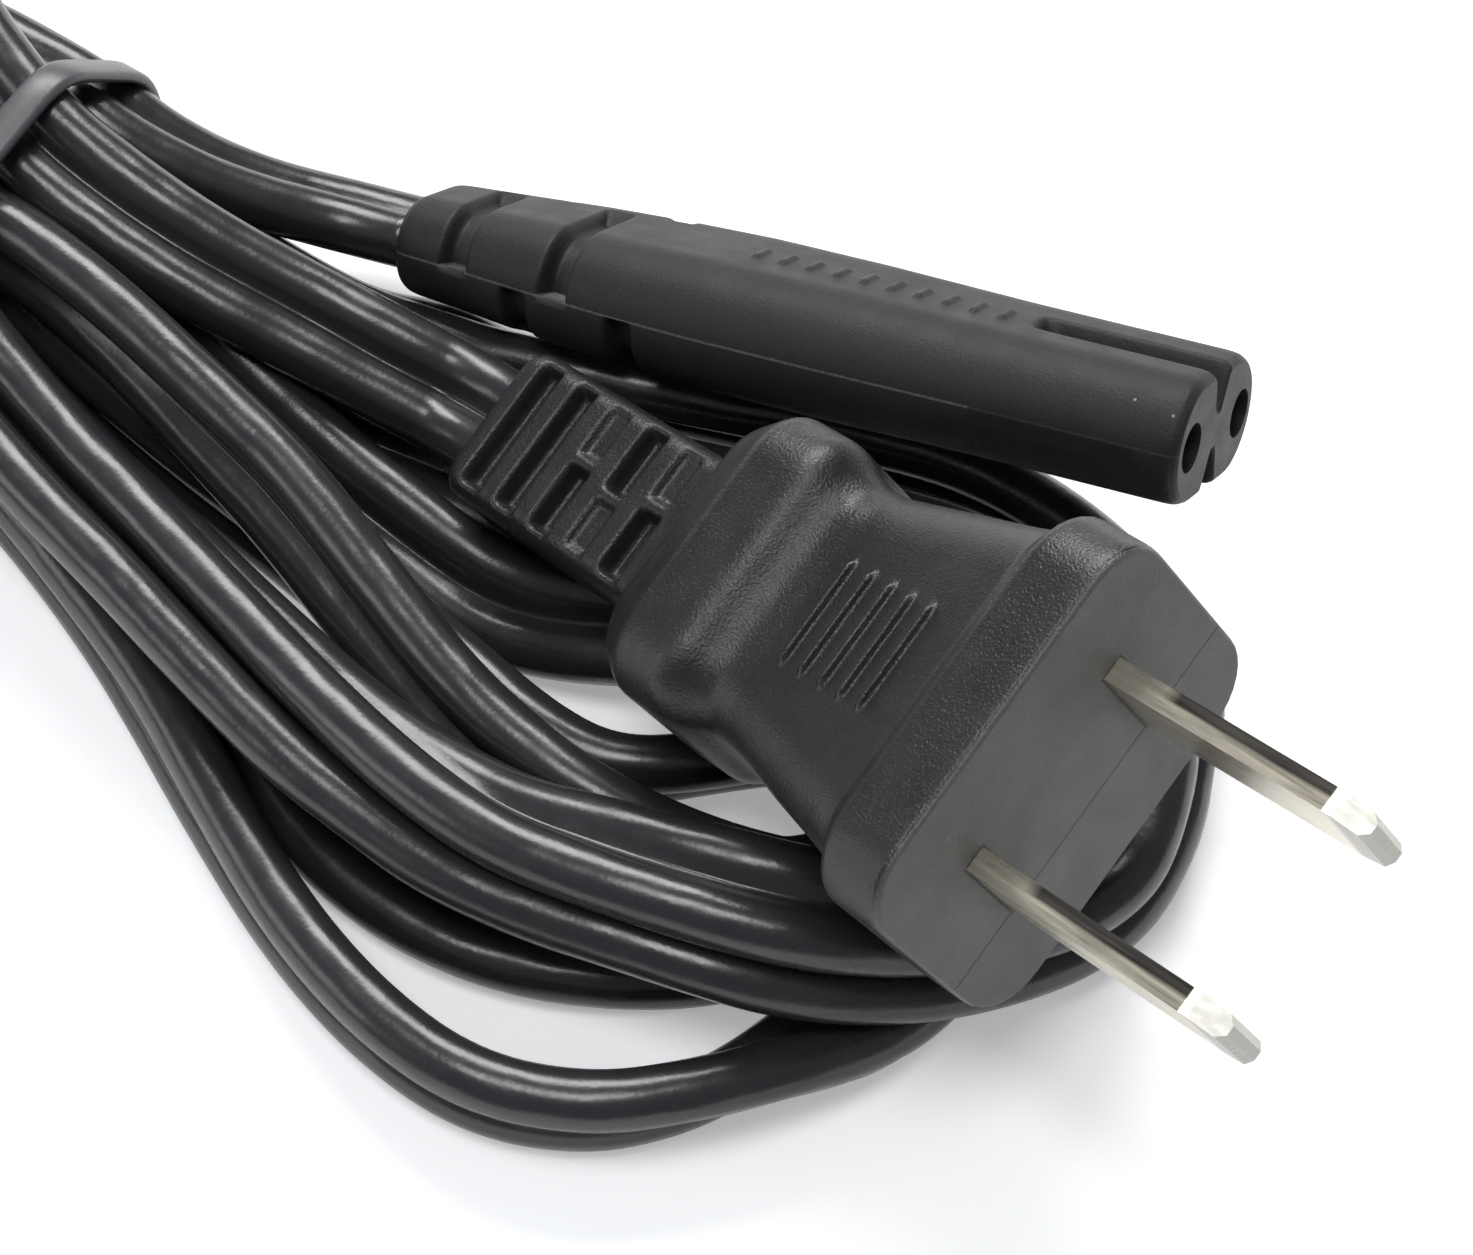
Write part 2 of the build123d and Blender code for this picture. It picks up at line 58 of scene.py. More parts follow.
# %% Camera
CAMERA_PLACE = Vector((101.4554, -85.9402, 193.79)) * MM
CAMERA_RIGHT = (0.82904, 0.55919, 0.0)
CAMERA_UP = (-0.48428, 0.71797, 0.5)
CAMERA_BACK = (0.27960, -0.41452, 0.86603)
CAMERA_LENS_MM = 85.54
CAMERA_SENSOR_MM = 36.0
CAMERA_NEAREST = 10.0 * MM

camera_data = bpy.data.cameras.new("table_view")
camera_data.lens = CAMERA_LENS_MM
camera_data.sensor_width = CAMERA_SENSOR_MM
camera_data.clip_start = CAMERA_NEAREST
camera = bpy.data.objects.new("table_view", camera_data)
turn = Matrix((CAMERA_RIGHT, CAMERA_UP, CAMERA_BACK)).transposed().to_4x4()
camera.matrix_world = Matrix.Translation(CAMERA_PLACE) @ turn
bpy.context.scene.collection.objects.link(camera)
bpy.context.scene.camera = camera
bpy.context.scene.view_settings.view_transform = "Standard"
print("camera at", tuple(round(v, 4) for v in camera.location))

# %% [markdown]
# ## Small helpers for finishes
#
# Every finish below is a Principled shader whose colour, roughness and bump come from noise in object
# coordinates. Pictures of the surface could be wrapped round it instead, but noise needs no unwrapping and
# stays sharp from near by. Object coordinates are in metres here, so a scale of 1 / 0.0002 makes grains
# 0.2 mm wide. The helpers only shorten the wiring.


# %% Material helpers
def new_finish(name, metallic=0.0, specular=0.5):
    """A Principled material with its node tree, ready for more nodes."""
    material = bpy.data.materials.new(name)
    material.use_nodes = True
    tree = material.node_tree
    shader = tree.nodes["Principled BSDF"]
    shader.inputs["Metallic"].default_value = metallic
    shader.inputs["Specular IOR Level"].default_value = specular
    return material, tree, shader


def object_coordinates(tree):
    """Where a point of the surface lies, in metres."""
    return tree.nodes.new("ShaderNodeTexCoord").outputs["Object"]


def noise(tree, vector, grain, detail=3.0, roughness=0.55):
    """Noise whose features are about one grain wide, in metres."""
    node = tree.nodes.new("ShaderNodeTexNoise")
    node.inputs["Scale"].default_value = 1.0 / grain
    node.inputs["Detail"].default_value = detail
    node.inputs["Roughness"].default_value = roughness
    tree.links.new(vector, node.inputs["Vector"])
    return node.outputs["Fac"]


def ranged(tree, value, low, high, from_low=0.3, from_high=0.7):
    """A value stretched to another range and clamped. Noise mostly lies between 0.3 and 0.7."""
    node = tree.nodes.new("ShaderNodeMapRange")
    numbers = {"From Min": from_low, "From Max": from_high, "To Min": low, "To Max": high}
    for name, number in numbers.items():
        node.inputs[name].default_value = number
    tree.links.new(value, node.inputs["Value"])
    return node.outputs["Result"]


def mixed(tree, factor, first, second):
    """A blend of two colours, each a tuple or a socket."""
    node = tree.nodes.new("ShaderNodeMix")
    node.data_type = "RGBA"
    sockets = [s for s in node.inputs if s.enabled]
    tree.links.new(factor, sockets[0])
    for socket, colour in zip(sockets[1:], (first, second)):
        if isinstance(colour, tuple):
            socket.default_value = (*colour, 1.0)
        else:
            tree.links.new(colour, socket)
    return next(s for s in node.outputs if s.enabled)


def combine(tree, operation, first, second):
    """One step of arithmetic, each side a number or a socket."""
    node = tree.nodes.new("ShaderNodeMath")
    node.operation = operation
    for socket, value in zip(node.inputs, (first, second)):
        if isinstance(value, (int, float)):
            socket.default_value = value
        else:
            tree.links.new(value, socket)
    return node.outputs[0]


def distance_along(tree, origin, axis):
    """How far a point lies along an axis from an origin, in metres."""
    dot = tree.nodes.new("ShaderNodeVectorMath")
    dot.operation = "DOT_PRODUCT"
    dot.inputs[1].default_value = axis
    tree.links.new(object_coordinates(tree), dot.inputs[0])
    return combine(tree, "SUBTRACT", dot.outputs["Value"], origin.dot(axis))


def size_of(tree, value):
    """A value without its sign."""
    return combine(tree, "ABSOLUTE", value, 0.0)


def product(tree, *values):
    """Several values multiplied."""
    result = values[0]
    for value in values[1:]:
        result = combine(tree, "MULTIPLY", result, value)
    return result


def seam(tree, distance, half_width):
    """1 on a thin line where the distance is near 0."""
    return ranged(tree, size_of(tree, distance), 1.0, 0.0, half_width * 0.5, half_width)


def bump(tree, shader, layers):
    """Bumps on top of each other: (height socket, depth in metres) from coarse to fine."""
    normal = None
    for height, depth in layers:
        node = tree.nodes.new("ShaderNodeBump")
        node.inputs["Distance"].default_value = depth
        tree.links.new(height, node.inputs["Height"])
        if normal is not None:
            tree.links.new(normal, node.inputs["Normal"])
        normal = node.outputs["Normal"]
    tree.links.new(normal, shader.inputs["Normal"])


SPECK_CHOICE = 0.72


def specks(tree, vector, spacing, size):
    """1 on a few small round spots and 0 elsewhere."""
    node = tree.nodes.new("ShaderNodeTexVoronoi")
    node.inputs["Scale"].default_value = 1.0 / spacing
    tree.links.new(vector, node.inputs["Vector"])
    spot = combine(tree, "LESS_THAN", node.outputs["Distance"], size / spacing)
    separate = tree.nodes.new("ShaderNodeSeparateColor")
    tree.links.new(node.outputs["Color"], separate.inputs["Color"])
    chosen = combine(tree, "GREATER_THAN", separate.outputs["Red"], SPECK_CHOICE)
    return combine(tree, "MULTIPLY", spot, chosen)


print("helpers ready")

# %% [markdown]
# ## Table and light
#
# The table is plain white paper, so bright that the picture shows pure white away from the cord, with
# soft bluish shadows close to it. The white comes from the table's own material as the camera sees it, not
# from stronger lamps, which would wash out the black plastic. A large soft lamp behind the hank draws the
# broad sheen near the far edge of each strand. A small lamp above draws the narrow bright streaks on the
# strands and along the plug's shoulder, and a weak one at the front left keeps the near sides readable.

# %% Table
TABLE_HALF = 2.0
PAPER_COLOUR = (0.86, 0.87, 0.885, 1.0)
PAPER_ROUGHNESS = 0.8
PAPER_GLOW = 0.33
table_mesh = bpy.data.meshes.new("table_top")
corners = [(TABLE_HALF * x, TABLE_HALF * y, 0.0) for x, y in ((-1, -1), (1, -1), (1, 1), (-1, 1))]
table_mesh.from_pydata(corners, [], [(0, 1, 2, 3)])
table_top = bpy.data.objects.new("table_top", table_mesh)
bpy.context.scene.collection.objects.link(table_top)

paper, tree, shader = new_finish("white_paper", specular=0.2)
shader.inputs["Base Color"].default_value = PAPER_COLOUR
shader.inputs["Roughness"].default_value = PAPER_ROUGHNESS
glow = tree.nodes.new("ShaderNodeEmission")
glow.inputs["Color"].default_value = (1.0, 1.0, 1.0, 1.0)
path = tree.nodes.new("ShaderNodeLightPath")
seen = combine(tree, "MAXIMUM", path.outputs["Is Camera Ray"], path.outputs["Is Glossy Ray"])
seen = combine(tree, "MAXIMUM", seen, path.outputs["Is Transmission Ray"])
tree.links.new(combine(tree, "MULTIPLY", seen, PAPER_GLOW), glow.inputs["Strength"])
both = tree.nodes.new("ShaderNodeAddShader")
tree.links.new(shader.outputs["BSDF"], both.inputs[0])
tree.links.new(glow.outputs["Emission"], both.inputs[1])
tree.links.new(both.outputs["Shader"], tree.nodes["Material Output"].inputs["Surface"])
table_mesh.materials.append(paper)


# %% Lamps and world
def softbox(name, place, target, width, height, energy, colour):
    """A rectangular area lamp that faces a point."""
    data = bpy.data.lights.new(name, "AREA")
    data.shape = "RECTANGLE"
    data.size = width
    data.size_y = height
    data.energy = energy
    data.color = colour
    lamp = bpy.data.objects.new(name, data)
    lamp.location = place
    lamp.rotation_mode = "QUATERNION"
    lamp.rotation_quaternion = (Vector(target) - Vector(place)).to_track_quat("-Z", "Y")
    bpy.context.scene.collection.objects.link(lamp)


# Each lamp: name, place, the point it faces, width, height, watts and colour
softbox("window_behind", (-0.42, 0.62, 0.80), (0.02, 0.0, 0.0), 0.75, 0.45, 14.0, (1.0, 0.99, 0.97))
softbox("ceiling", (0.0, -0.20, 1.25), (0.02, 0.0, 0.0), 0.42, 0.42, 6.8, (0.98, 0.99, 1.0))
softbox("front_left", (-0.55, -0.55, 0.35), (0.02, 0.0, 0.01), 0.5, 0.3, 1.5, (1.0, 1.0, 1.0))

SKY_COLOUR = (0.93, 0.96, 1.0, 1.0)
SKY_LIGHT = 0.25
SKY_SEEN = 1.0

world = bpy.data.worlds.new("pale_room")
bpy.context.scene.world = world
world.use_nodes = True
tree = world.node_tree
sky = tree.nodes["Background"]
sky.inputs["Color"].default_value = SKY_COLOUR
path = tree.nodes.new("ShaderNodeLightPath")
seen = combine(tree, "MAXIMUM", path.outputs["Is Camera Ray"], path.outputs["Is Transmission Ray"])
tree.links.new(ranged(tree, seen, SKY_LIGHT, SKY_SEEN, 0.0, 1.0), sky.inputs["Strength"])
print("lamps", len(bpy.data.lights))

# %% [markdown]
# ## The cord's route
#
# The cord is one flat twin cord, 7.4 by 3.7 mm, that passes through the tie twelve times: six loops lie at
# the left and five folds at the right. It could be drawn as separate strands, but a hank only looks right
# when one length runs through all of it. So its middle line is one smooth NURBS curve, and each control
# point below also carries the cord's lean: 0 stands it on edge with one core above the other, and 90 lays
# it flat.

# %% Control points: x, y, z in millimetres and the lean in degrees
ROUTE = [
    # Out of the plug and over the hank to the tie
    (22.4, 6.2, 9.0, 70), (17.8, 7.2, 7.4, 70), (13.1, 6.2, 8.9, 63), (6.5, 5.2, 10.5, 72),
    (-0.2, 3.8, 12.7, 72), (-6.9, 3.4, 14.6, 67), (-13.5, 3.8, 16.2, 68), (-21.7, 6.4, 18.1, 75),
    # First loop at the left, on top
    (-30.2, 11.2, 18.4, 70), (-40.3, 16.9, 15.7, 55), (-51.3, 19.9, 13.4, 42), (-61.4, 20.1, 12.5, 33),
    (-71.5, 17.4, 12.1, 26), (-79.6, 11.0, 11.8, 21), (-82.2, 1.4, 11.7, 17), (-78.8, -8.3, 11.6, 14),
    (-69.6, -14.8, 11.5, 12), (-57.6, -16.8, 11.4, 10), (-43.6, -15.6, 11.7, 11), (-28.6, -12.3, 12.5, 15),
    (-14.0, -10.5, 12.9, 20),
    # Right, second strand in front, round under the plug and back
    (1.3, -14.5, 10.9, 26), (9.0, -15.9, 10.5, 29), (17.3, -17.7, 9.4, 32), (25.2, -19.2, 8.6, 37),
    (30.6, -19.3, 8.2, 45), (35.9, -19.5, 8.2, 54), (42.2, -18.4, 8.6, 67), (47.4, -17.0, 9.3, 82),
    (52.8, -15.5, 9.5, 93), (55.6, -14.4, 9.1, 99), (59.0, -12.3, 7.9, 101), (62.7, -8.7, 6.1, 100),
    (65.6, -5.0, 5.4, 107), (67.5, -1.6, 4.4, 102), (68.5, 1.3, 3.7, 89), (68.7, 4.1, 3.3, 79),
    (68.2, 8.0, 3.2, 69), (67.0, 11.4, 2.9, 56), (65.4, 16.6, 4.2, 39), (58.9, 20.4, 4.2, 23),
    (50.7, 22.4, 4.0, 6), (42.3, 22.1, 3.9, -11), (16.5, 13.2, 3.7, -28), (11.5, 13.0, 3.4, -44),
    (6.2, 11.0, 3.7, -30), (-3.4, 10.8, 3.7, -21), (-14.8, 11.3, 4.1, -16),
    # Second loop at the left, the lowest and widest
    (-26.1, 13.7, 4.2, -10), (-38.0, 17.9, 3.9, -6), (-51.9, 20.7, 3.9, -4), (-64.8, 20.4, 3.9, -2),
    (-76.3, 15.9, 3.9, -2), (-83.2, 6.3, 3.9, -2), (-82.8, -5.6, 3.9, -2), (-75.2, -15.5, 3.9, -2),
    (-63.2, -19.7, 3.9, -2), (-49.8, -18.9, 3.9, -1), (-35.7, -15.6, 4.4, -1), (-23.7, -12.2, 5.0, -0),
    (-14.2, -10.8, 5.1, 0),
    # Right, the long front loop and its way back along the floor
    (-2.7, -13.6, 3.9, 0), (6.0, -16.5, 3.9, -2), (13.1, -19.4, 4.0, -10), (20.3, -23.0, 4.0, -8),
    (29.1, -27.1, 4.0, -3), (37.3, -29.4, 4.0, -1), (44.9, -29.7, 4.0, 1), (51.3, -27.0, 4.0, 4),
    (55.5, -22.7, 3.9, 14), (58.3, -18.1, 3.6, 36), (60.4, -13.4, 2.6, 72), (61.9, -8.1, 2.0, 90),
    (61.9, -2.5, 2.2, 92), (58.7, 3.8, 2.0, 90), (53.1, 6.7, 2.0, 90), (45.4, 6.3, 2.0, 90),
    (36.3, 5.8, 2.1, 90), (25.2, 5.6, 2.0, 91), (13.2, 3.8, 2.1, 87), (0.8, 1.6, 3.0, 57),
    (-14.1, 1.5, 4.2, 27),
    # Third loop at the left
    (-26.7, 2.9, 3.9, 7), (-36.8, 6.1, 3.8, -6), (-47.7, 9.2, 3.9, -8), (-57.7, 10.3, 3.9, -9),
    (-66.9, 7.4, 3.9, -8), (-71.7, -0.0, 3.9, -9), (-69.5, -8.2, 3.9, -10), (-61.6, -12.0, 4.0, -12),
    (-50.6, -10.2, 4.8, -15), (-39.5, -7.0, 7.8, -17), (-27.4, -3.4, 11.7, -15), (-13.9, -1.6, 13.2, -7),
    # Right, the inner strand, on edge beside the plug
    (-3.1, -2.7, 13.1, -11), (6.7, -4.7, 11.7, -23), (14.0, -6.2, 10.8, -33), (22.4, -9.0, 9.5, -31),
    (30.5, -11.6, 8.4, -27), (38.1, -12.7, 7.7, -27), (43.2, -12.5, 7.3, -28), (47.2, -12.1, 7.4, -32),
    (51.1, -11.4, 7.5, -37), (54.8, -9.7, 7.2, -27), (59.2, -2.5, 8.0, -7), (62.4, 2.4, 8.0, 12),
    (61.4, 8.1, 6.7, 31), (56.0, 10.6, 6.8, 49), (48.4, 8.7, 6.9, 59), (41.2, 4.3, 6.6, 64),
    (34.5, 0.3, 4.8, 65), (27.1, -1.9, 2.9, 61), (19.4, -1.4, 3.5, 52), (10.0, -0.6, 4.9, 56),
    (0.8, 0.9, 6.7, 63), (-7.4, 2.8, 9.6, 70), (-14.2, 4.7, 10.6, 80),
    # Fourth loop at the left
    (-23.7, 6.6, 9.4, 79), (-33.7, 9.7, 8.9, 69), (-43.8, 12.3, 9.5, 44), (-53.9, 14.1, 10.3, 22),
    (-62.9, 13.7, 10.6, 9), (-70.5, 8.8, 10.9, 5), (-73.2, 0.8, 11.2, 6), (-69.3, -7.8, 11.4, 6),
    (-60.6, -12.6, 11.5, 5), (-47.5, -12.1, 11.8, 1), (-31.5, -8.3, 12.6, 2), (-13.9, -6.3, 13.0, 9),
    # Right, the strand that lies over the others under the plug
    (-1.0, -9.9, 10.6, 17), (8.7, -11.9, 10.3, 25), (17.3, -13.8, 9.9, 31), (25.5, -15.7, 10.3, 37),
    (32.2, -16.8, 10.9, 47), (39.0, -17.1, 11.6, 62), (44.8, -16.0, 12.5, 76), (48.9, -15.0, 12.9, 85),
    (53.0, -13.8, 13.0, 91), (56.9, -12.2, 12.5, 92), (60.3, -9.3, 10.6, 102), (63.8, -5.9, 9.4, 106),
    (66.5, -2.7, 8.8, 101), (68.0, 0.4, 8.2, 90), (68.4, 3.6, 7.5, 73), (66.2, 10.9, 7.5, 54),
    (61.0, 15.4, 5.5, 34), (54.1, 17.5, 4.8, 15), (44.8, 16.8, 4.3, -4), (34.7, 14.1, 3.8, -23),
    (24.2, 11.4, 3.4, -41), (13.3, 8.4, 3.5, -28), (0.2, 6.4, 4.7, -10), (-14.3, 6.9, 4.8, -6),
    # Fifth loop at the left
    (-25.8, 9.3, 4.1, -4), (-36.7, 13.5, 3.9, -3), (-49.7, 16.7, 3.9, -3), (-61.7, 16.3, 3.9, -2),
    (-72.1, 12.1, 3.9, -2), (-78.5, 3.7, 3.9, -1), (-77.2, -6.5, 3.9, -2), (-69.2, -14.4, 3.9, -2),
    (-58.6, -15.9, 3.9, -3), (-45.6, -13.9, 4.0, -5), (-31.6, -8.9, 4.6, -8), (-14.2, -6.2, 4.9, -15),
    # Right, the flat strand below, with a tight eye of its own
    (-3.7, -8.1, 4.0, -25), (4.9, -10.6, 3.4, -38), (12.7, -13.9, 3.4, -48), (20.2, -17.3, 3.1, -59),
    (27.1, -19.8, 2.5, -73), (33.9, -20.6, 2.4, -80), (40.5, -19.5, 2.2, -85), (46.4, -16.7, 2.1, -89),
    (50.6, -13.5, 2.0, -89), (54.1, -9.3, 2.8, -66), (55.4, -4.1, 3.5, -36), (53.0, 0.4, 3.9, -17),
    (48.5, 0.5, 3.8, -17), (44.2, -3.7, 3.7, -25), (40.0, -7.6, 3.8, -15), (35.1, -8.4, 3.9, -6),
    (27.9, -7.5, 3.9, 2), (19.2, -6.4, 3.8, 8), (8.1, -5.3, 4.0, 0), (-3.9, -3.9, 4.8, 3),
    (-14.5, -2.1, 4.7, 17),
    # Sixth loop at the left, on top of all
    (-27.1, -1.3, 5.7, 21), (-38.2, -2.5, 8.7, 16), (-48.1, -4.2, 10.5, 12), (-57.5, -5.3, 11.2, 9),
    (-65.3, -3.6, 11.4, 7), (-69.0, 2.2, 11.6, 7), (-65.4, 8.0, 11.9, 9), (-57.2, 10.1, 12.2, 22),
    (-47.7, 7.1, 12.8, 42), (-37.7, 7.0, 13.8, 63), (-28.7, 8.5, 13.8, 80), (-21.1, 9.6, 13.3, 69),
    (-14.1, 10.2, 12.9, 52),
    # Over the tie and into the connector
    (-9.7, 10.3, 11.2, 51), (-4.1, 12.2, 8.5, 53), (2.7, 16.2, 5.7, 54), (7.7, 17.0, 6.7, 54),
]
print("control points", len(ROUTE))

# %% [markdown]
# ## Read the curve
#
# A NURBS curve isn't a list of places yet. Blender works those out when a curve is turned into a mesh, so
# a curve without any thickness gives its middle line. The lean is read in the same way from a second
# curve that has the same number of points: both are divided alike, so their points belong together.


# %% Middle line and lean
CURVE_ORDER = 3
CURVE_STEPS = 9


def read_curve(name, points):
    """The places along a NURBS curve with these control points."""
    curve = bpy.data.curves.new(name, "CURVE")
    curve.dimensions = "3D"
    curve.resolution_u = CURVE_STEPS
    spline = curve.splines.new("NURBS")
    spline.points.add(len(points) - 1)
    for point, place in zip(spline.points, points):
        point.co = (*place, 1.0)
    spline.order_u = CURVE_ORDER
    spline.use_endpoint_u = True
    holder = bpy.data.objects.new(name, curve)
    line = bpy.data.meshes.new_from_object(holder)
    places = [v.co.copy() for v in line.vertices]
    bpy.data.objects.remove(holder)
    bpy.data.meshes.remove(line)
    return places


stations = read_curve("cord_line", [(x * MM, y * MM, z * MM) for x, y, z, lean in ROUTE])
lean_places = read_curve("cord_lean", [(lean, 0.0, 0.0) for x, y, z, lean in ROUTE])
leans = [place.x for place in lean_places]
cord_length = sum((b - a).length for a, b in zip(stations, stations[1:]))
print("stations", len(stations), "length in metres", round(cord_length, 4))

# %% [markdown]
# ## The cord's shape
#
# In section the cord is a figure of eight: two round cores with a narrow web between them, which leaves
# the groove that catches the light. A Blender curve's own bevel can't follow the lean, so the section is
# set across the middle line at every station and joined up as one mesh tube. The tie, the plug and the
# connector are joined up from rings in the same way, so they share the two helpers below.


# %% Rings to a piece
def add_rings(body, rings, closed=False):
    """Faces between rings of vertices, with caps if the run is open."""
    following = rings[1:] + rings[:1] if closed else rings[1:]
    for first, second in zip(rings, following):
        for k in range(len(first)):
            n = (k + 1) % len(first)
            body.faces.new((first[k], first[n], second[n], second[k]))
    if not closed:
        body.faces.new(rings[0])
        body.faces.new(rings[-1])


def piece_from(name, body, smooth=True):
    """An object in the scene from a built-up mesh. Only its four-sided faces are shaded smooth."""
    bmesh.ops.recalc_face_normals(body, faces=body.faces[:])
    for face in body.faces:
        face.smooth = smooth and len(face.verts) == 4
    mesh = bpy.data.meshes.new(name)
    body.to_mesh(mesh)
    body.free()
    piece = bpy.data.objects.new(name, mesh)
    bpy.context.scene.collection.objects.link(piece)
    return piece


# %% Section of the twin cord
CORE_RADIUS = 1.85 * MM
CORE_OFFSET = 1.87 * MM
WEB_HALF = 0.80 * MM
GROOVE_DIP = 0.93
CORE_STEPS = 15


def twin_section():
    """Points round the section, as (across the width, across the thickness)."""
    meet = math.pi - math.asin(WEB_HALF / CORE_RADIUS)
    side = []
    for step in range(CORE_STEPS):
        angle = -meet + 2 * meet * step / (CORE_STEPS - 1)
        side.append((CORE_OFFSET + CORE_RADIUS * math.cos(angle), CORE_RADIUS * math.sin(angle)))
    web = WEB_HALF * GROOVE_DIP
    other = [(-across, -up) for across, up in side]
    return side + [(0.0, web)] + other + [(0.0, -web)]


section = twin_section()
print("points round the section", len(section))


# %% Sweep it along the middle line
STRAIGHT_UP = Vector((0, 0, 1))


def width_direction(heading, lean):
    """The direction across the cord's width, for a heading and a lean in degrees."""
    side = heading.cross(STRAIGHT_UP).normalized()
    across = side * math.sin(math.radians(lean)) + STRAIGHT_UP * math.cos(math.radians(lean))
    return (across - heading * across.dot(heading)).normalized()


def heading_at(places, index):
    """The direction of travel at one place."""
    return (places[min(index + 1, len(places) - 1)] - places[max(index - 1, 0)]).normalized()


def sweep_section(name, places, widths, outline):
    """A closed tube with this outline along these places."""
    body = bmesh.new()
    rings = []
    for index, place in enumerate(places):
        heading = heading_at(places, index)
        across = widths[index]
        thick = heading.cross(across)
        rings.append([body.verts.new(place + across * u + thick * v) for u, v in outline])
    add_rings(body, rings)
    return piece_from(name, body)


widths = [width_direction(heading_at(stations, i), leans[i]) for i in range(len(stations))]
cord = sweep_section("flat_twin_cord", stations, widths, section)
print("cord triangles", 2 * len(cord.data.polygons))

# %% [markdown]
# ## The twist tie
#
# The tie is a grey plastic ribbon with a steel wire inside, pulled tight round the middle of the hank, its
# two ends twisted together. A circle or an oval round the hank would leave gaps, because the tie touches
# the outermost strands wherever they are. So its path is worked out from the finished cord: the cord's
# points in the tie's plane, and the tightest line round all of them.

# %% Line round the strands
TIE_AT = -13.4 * MM
RIBBON_HALF_WIDTH = 1.2 * MM
RIBBON_HALF_THICKNESS = 0.42 * MM
WIRE_HALF_WIDTH = 0.20 * MM
WIRE_HALF_THICKNESS = 0.199 * MM
TIE_LIFT = 0.40 * MM
TIE_STEPS = 110
TIE_EASINGS = 5


def outline_round(points):
    """The convex outline of points in a plane, anticlockwise."""
    ordered = sorted(set(points))
    halves = []
    for run in (ordered, ordered[::-1]):
        half = []
        for p in run:
            while len(half) > 1:
                a, b = half[-2], half[-1]
                if (b[0] - a[0]) * (p[1] - a[1]) - (b[1] - a[1]) * (p[0] - a[0]) > 0:
                    break
                half.pop()
            half.append(p)
        halves += half[:-1]
    return halves


def evenly(corners, count):
    """Places at equal distances along a closed line."""
    closed = corners + corners[:1]
    lengths = [math.dist(a, b) for a, b in zip(closed, closed[1:])]
    total = sum(lengths)
    places = []
    for step in range(count):
        left = total * step / count
        k = 0
        while left > lengths[k]:
            left -= lengths[k]
            k += 1
        share = left / lengths[k]
        places.append(tuple(a + (b - a) * share for a, b in zip(closed[k], closed[k + 1])))
    return places


def eased(places, times):
    """A closed line with its corners softened a little."""
    for _ in range(times):
        around = zip(places[-1:] + places[:-1], places, places[1:] + places[:1])
        places = [tuple((a + 2 * b + c) / 4 for a, b, c in zip(*three)) for three in around]
    return places


near_tie = [(v.co.y, v.co.z) for v in cord.data.vertices if abs(v.co.x - TIE_AT) < RIBBON_HALF_WIDTH]
tie_line = eased(evenly(outline_round(near_tie), TIE_STEPS), TIE_EASINGS)
tie_top = max(z for y, z in tie_line)
print("tie height in millimetres", round(tie_top / MM, 1))


# %% Ribbon and wire
TAIL_STEPS = 48
TAIL_TURNS = 1.6
TAIL_LENGTH = 14.0 * MM
TAIL_LIFT = 0.9 * TIE_LIFT
TAIL_Y = -4.0 * MM
tail_floor = max(z for y, z in tie_line if abs(y - TAIL_Y) < 1.0 * MM)
tail_start = Vector((TIE_AT + 0.8 * MM, TAIL_Y, tail_floor + 2.0 * MM))


def rounded_bar(half_wide, half_thick, steps=5):
    """The outline of a flat bar with round edges, as (wide, thick)."""
    outline = []
    for sign in (1, -1):
        for step in range(steps):
            angle = -math.pi / 2 + math.pi * step / (steps - 1)
            along = (half_wide - half_thick) + half_thick * math.cos(angle)
            outline.append((sign * along, sign * half_thick * math.sin(angle)))
    return outline


def outward(places, k):
    """The direction out of a closed anticlockwise line at one place."""
    before, after = places[k - 1], places[(k + 1) % len(places)]
    step = Vector((0.0, after[0] - before[0], after[1] - before[1])).normalized()
    return Vector((0.0, step.z, -step.y))


def tie_part(name, outline, lowest):
    """A ring round the strands and a twisted tail of its two ends, with nothing below a height."""
    body = bmesh.new()
    rings = []
    for k, (y, z) in enumerate(tie_line):
        out = outward(tie_line, k)
        middle = Vector((TIE_AT, y, z)) + out * TIE_LIFT
        rings.append([body.verts.new(middle + Vector((u, 0, 0)) + out * v) for u, v in outline])
    add_rings(body, rings, closed=True)
    for half_turn in (0.0, math.pi):
        rings = []
        for step in range(TAIL_STEPS):
            share = step / (TAIL_STEPS - 1)
            angle = TAIL_TURNS * 2 * math.pi * share + half_turn
            across = Vector((0.0, math.cos(angle), math.sin(angle)))
            up = Vector((0.0, -math.sin(angle), math.cos(angle)))
            middle = tail_start + Vector((-TAIL_LENGTH * share, 0.0, 0.0)) + up * TAIL_LIFT
            rings.append([body.verts.new(middle + across * u + up * v) for u, v in outline])
        add_rings(body, rings)
    piece = piece_from(name, body)
    for vertex in piece.data.vertices:
        vertex.co.z = max(vertex.co.z, lowest)
    return piece


ribbon = tie_part("twist_tie_ribbon", rounded_bar(RIBBON_HALF_WIDTH, RIBBON_HALF_THICKNESS), 0.02 * MM)
wire = tie_part("twist_tie_wire", rounded_bar(WIRE_HALF_WIDTH, WIRE_HALF_THICKNESS), 0.15 * MM)
print("tie faces", len(ribbon.data.polygons), len(wire.data.polygons))

# %% [markdown]
# ## The plug's moulding
#
# The plug's soft body is one moulding: a flange behind the blades, a waisted grip with five fine ribs on
# each broad side, a square shoulder, and a flexible sleeve with staggered slots. All of it has rounded
# edges that catch the light. A loft of rounded rectangles along the plug's axis gives those shapes, and
# ribs and slots only move the loft's own points in or out, so everything stays one closed skin.

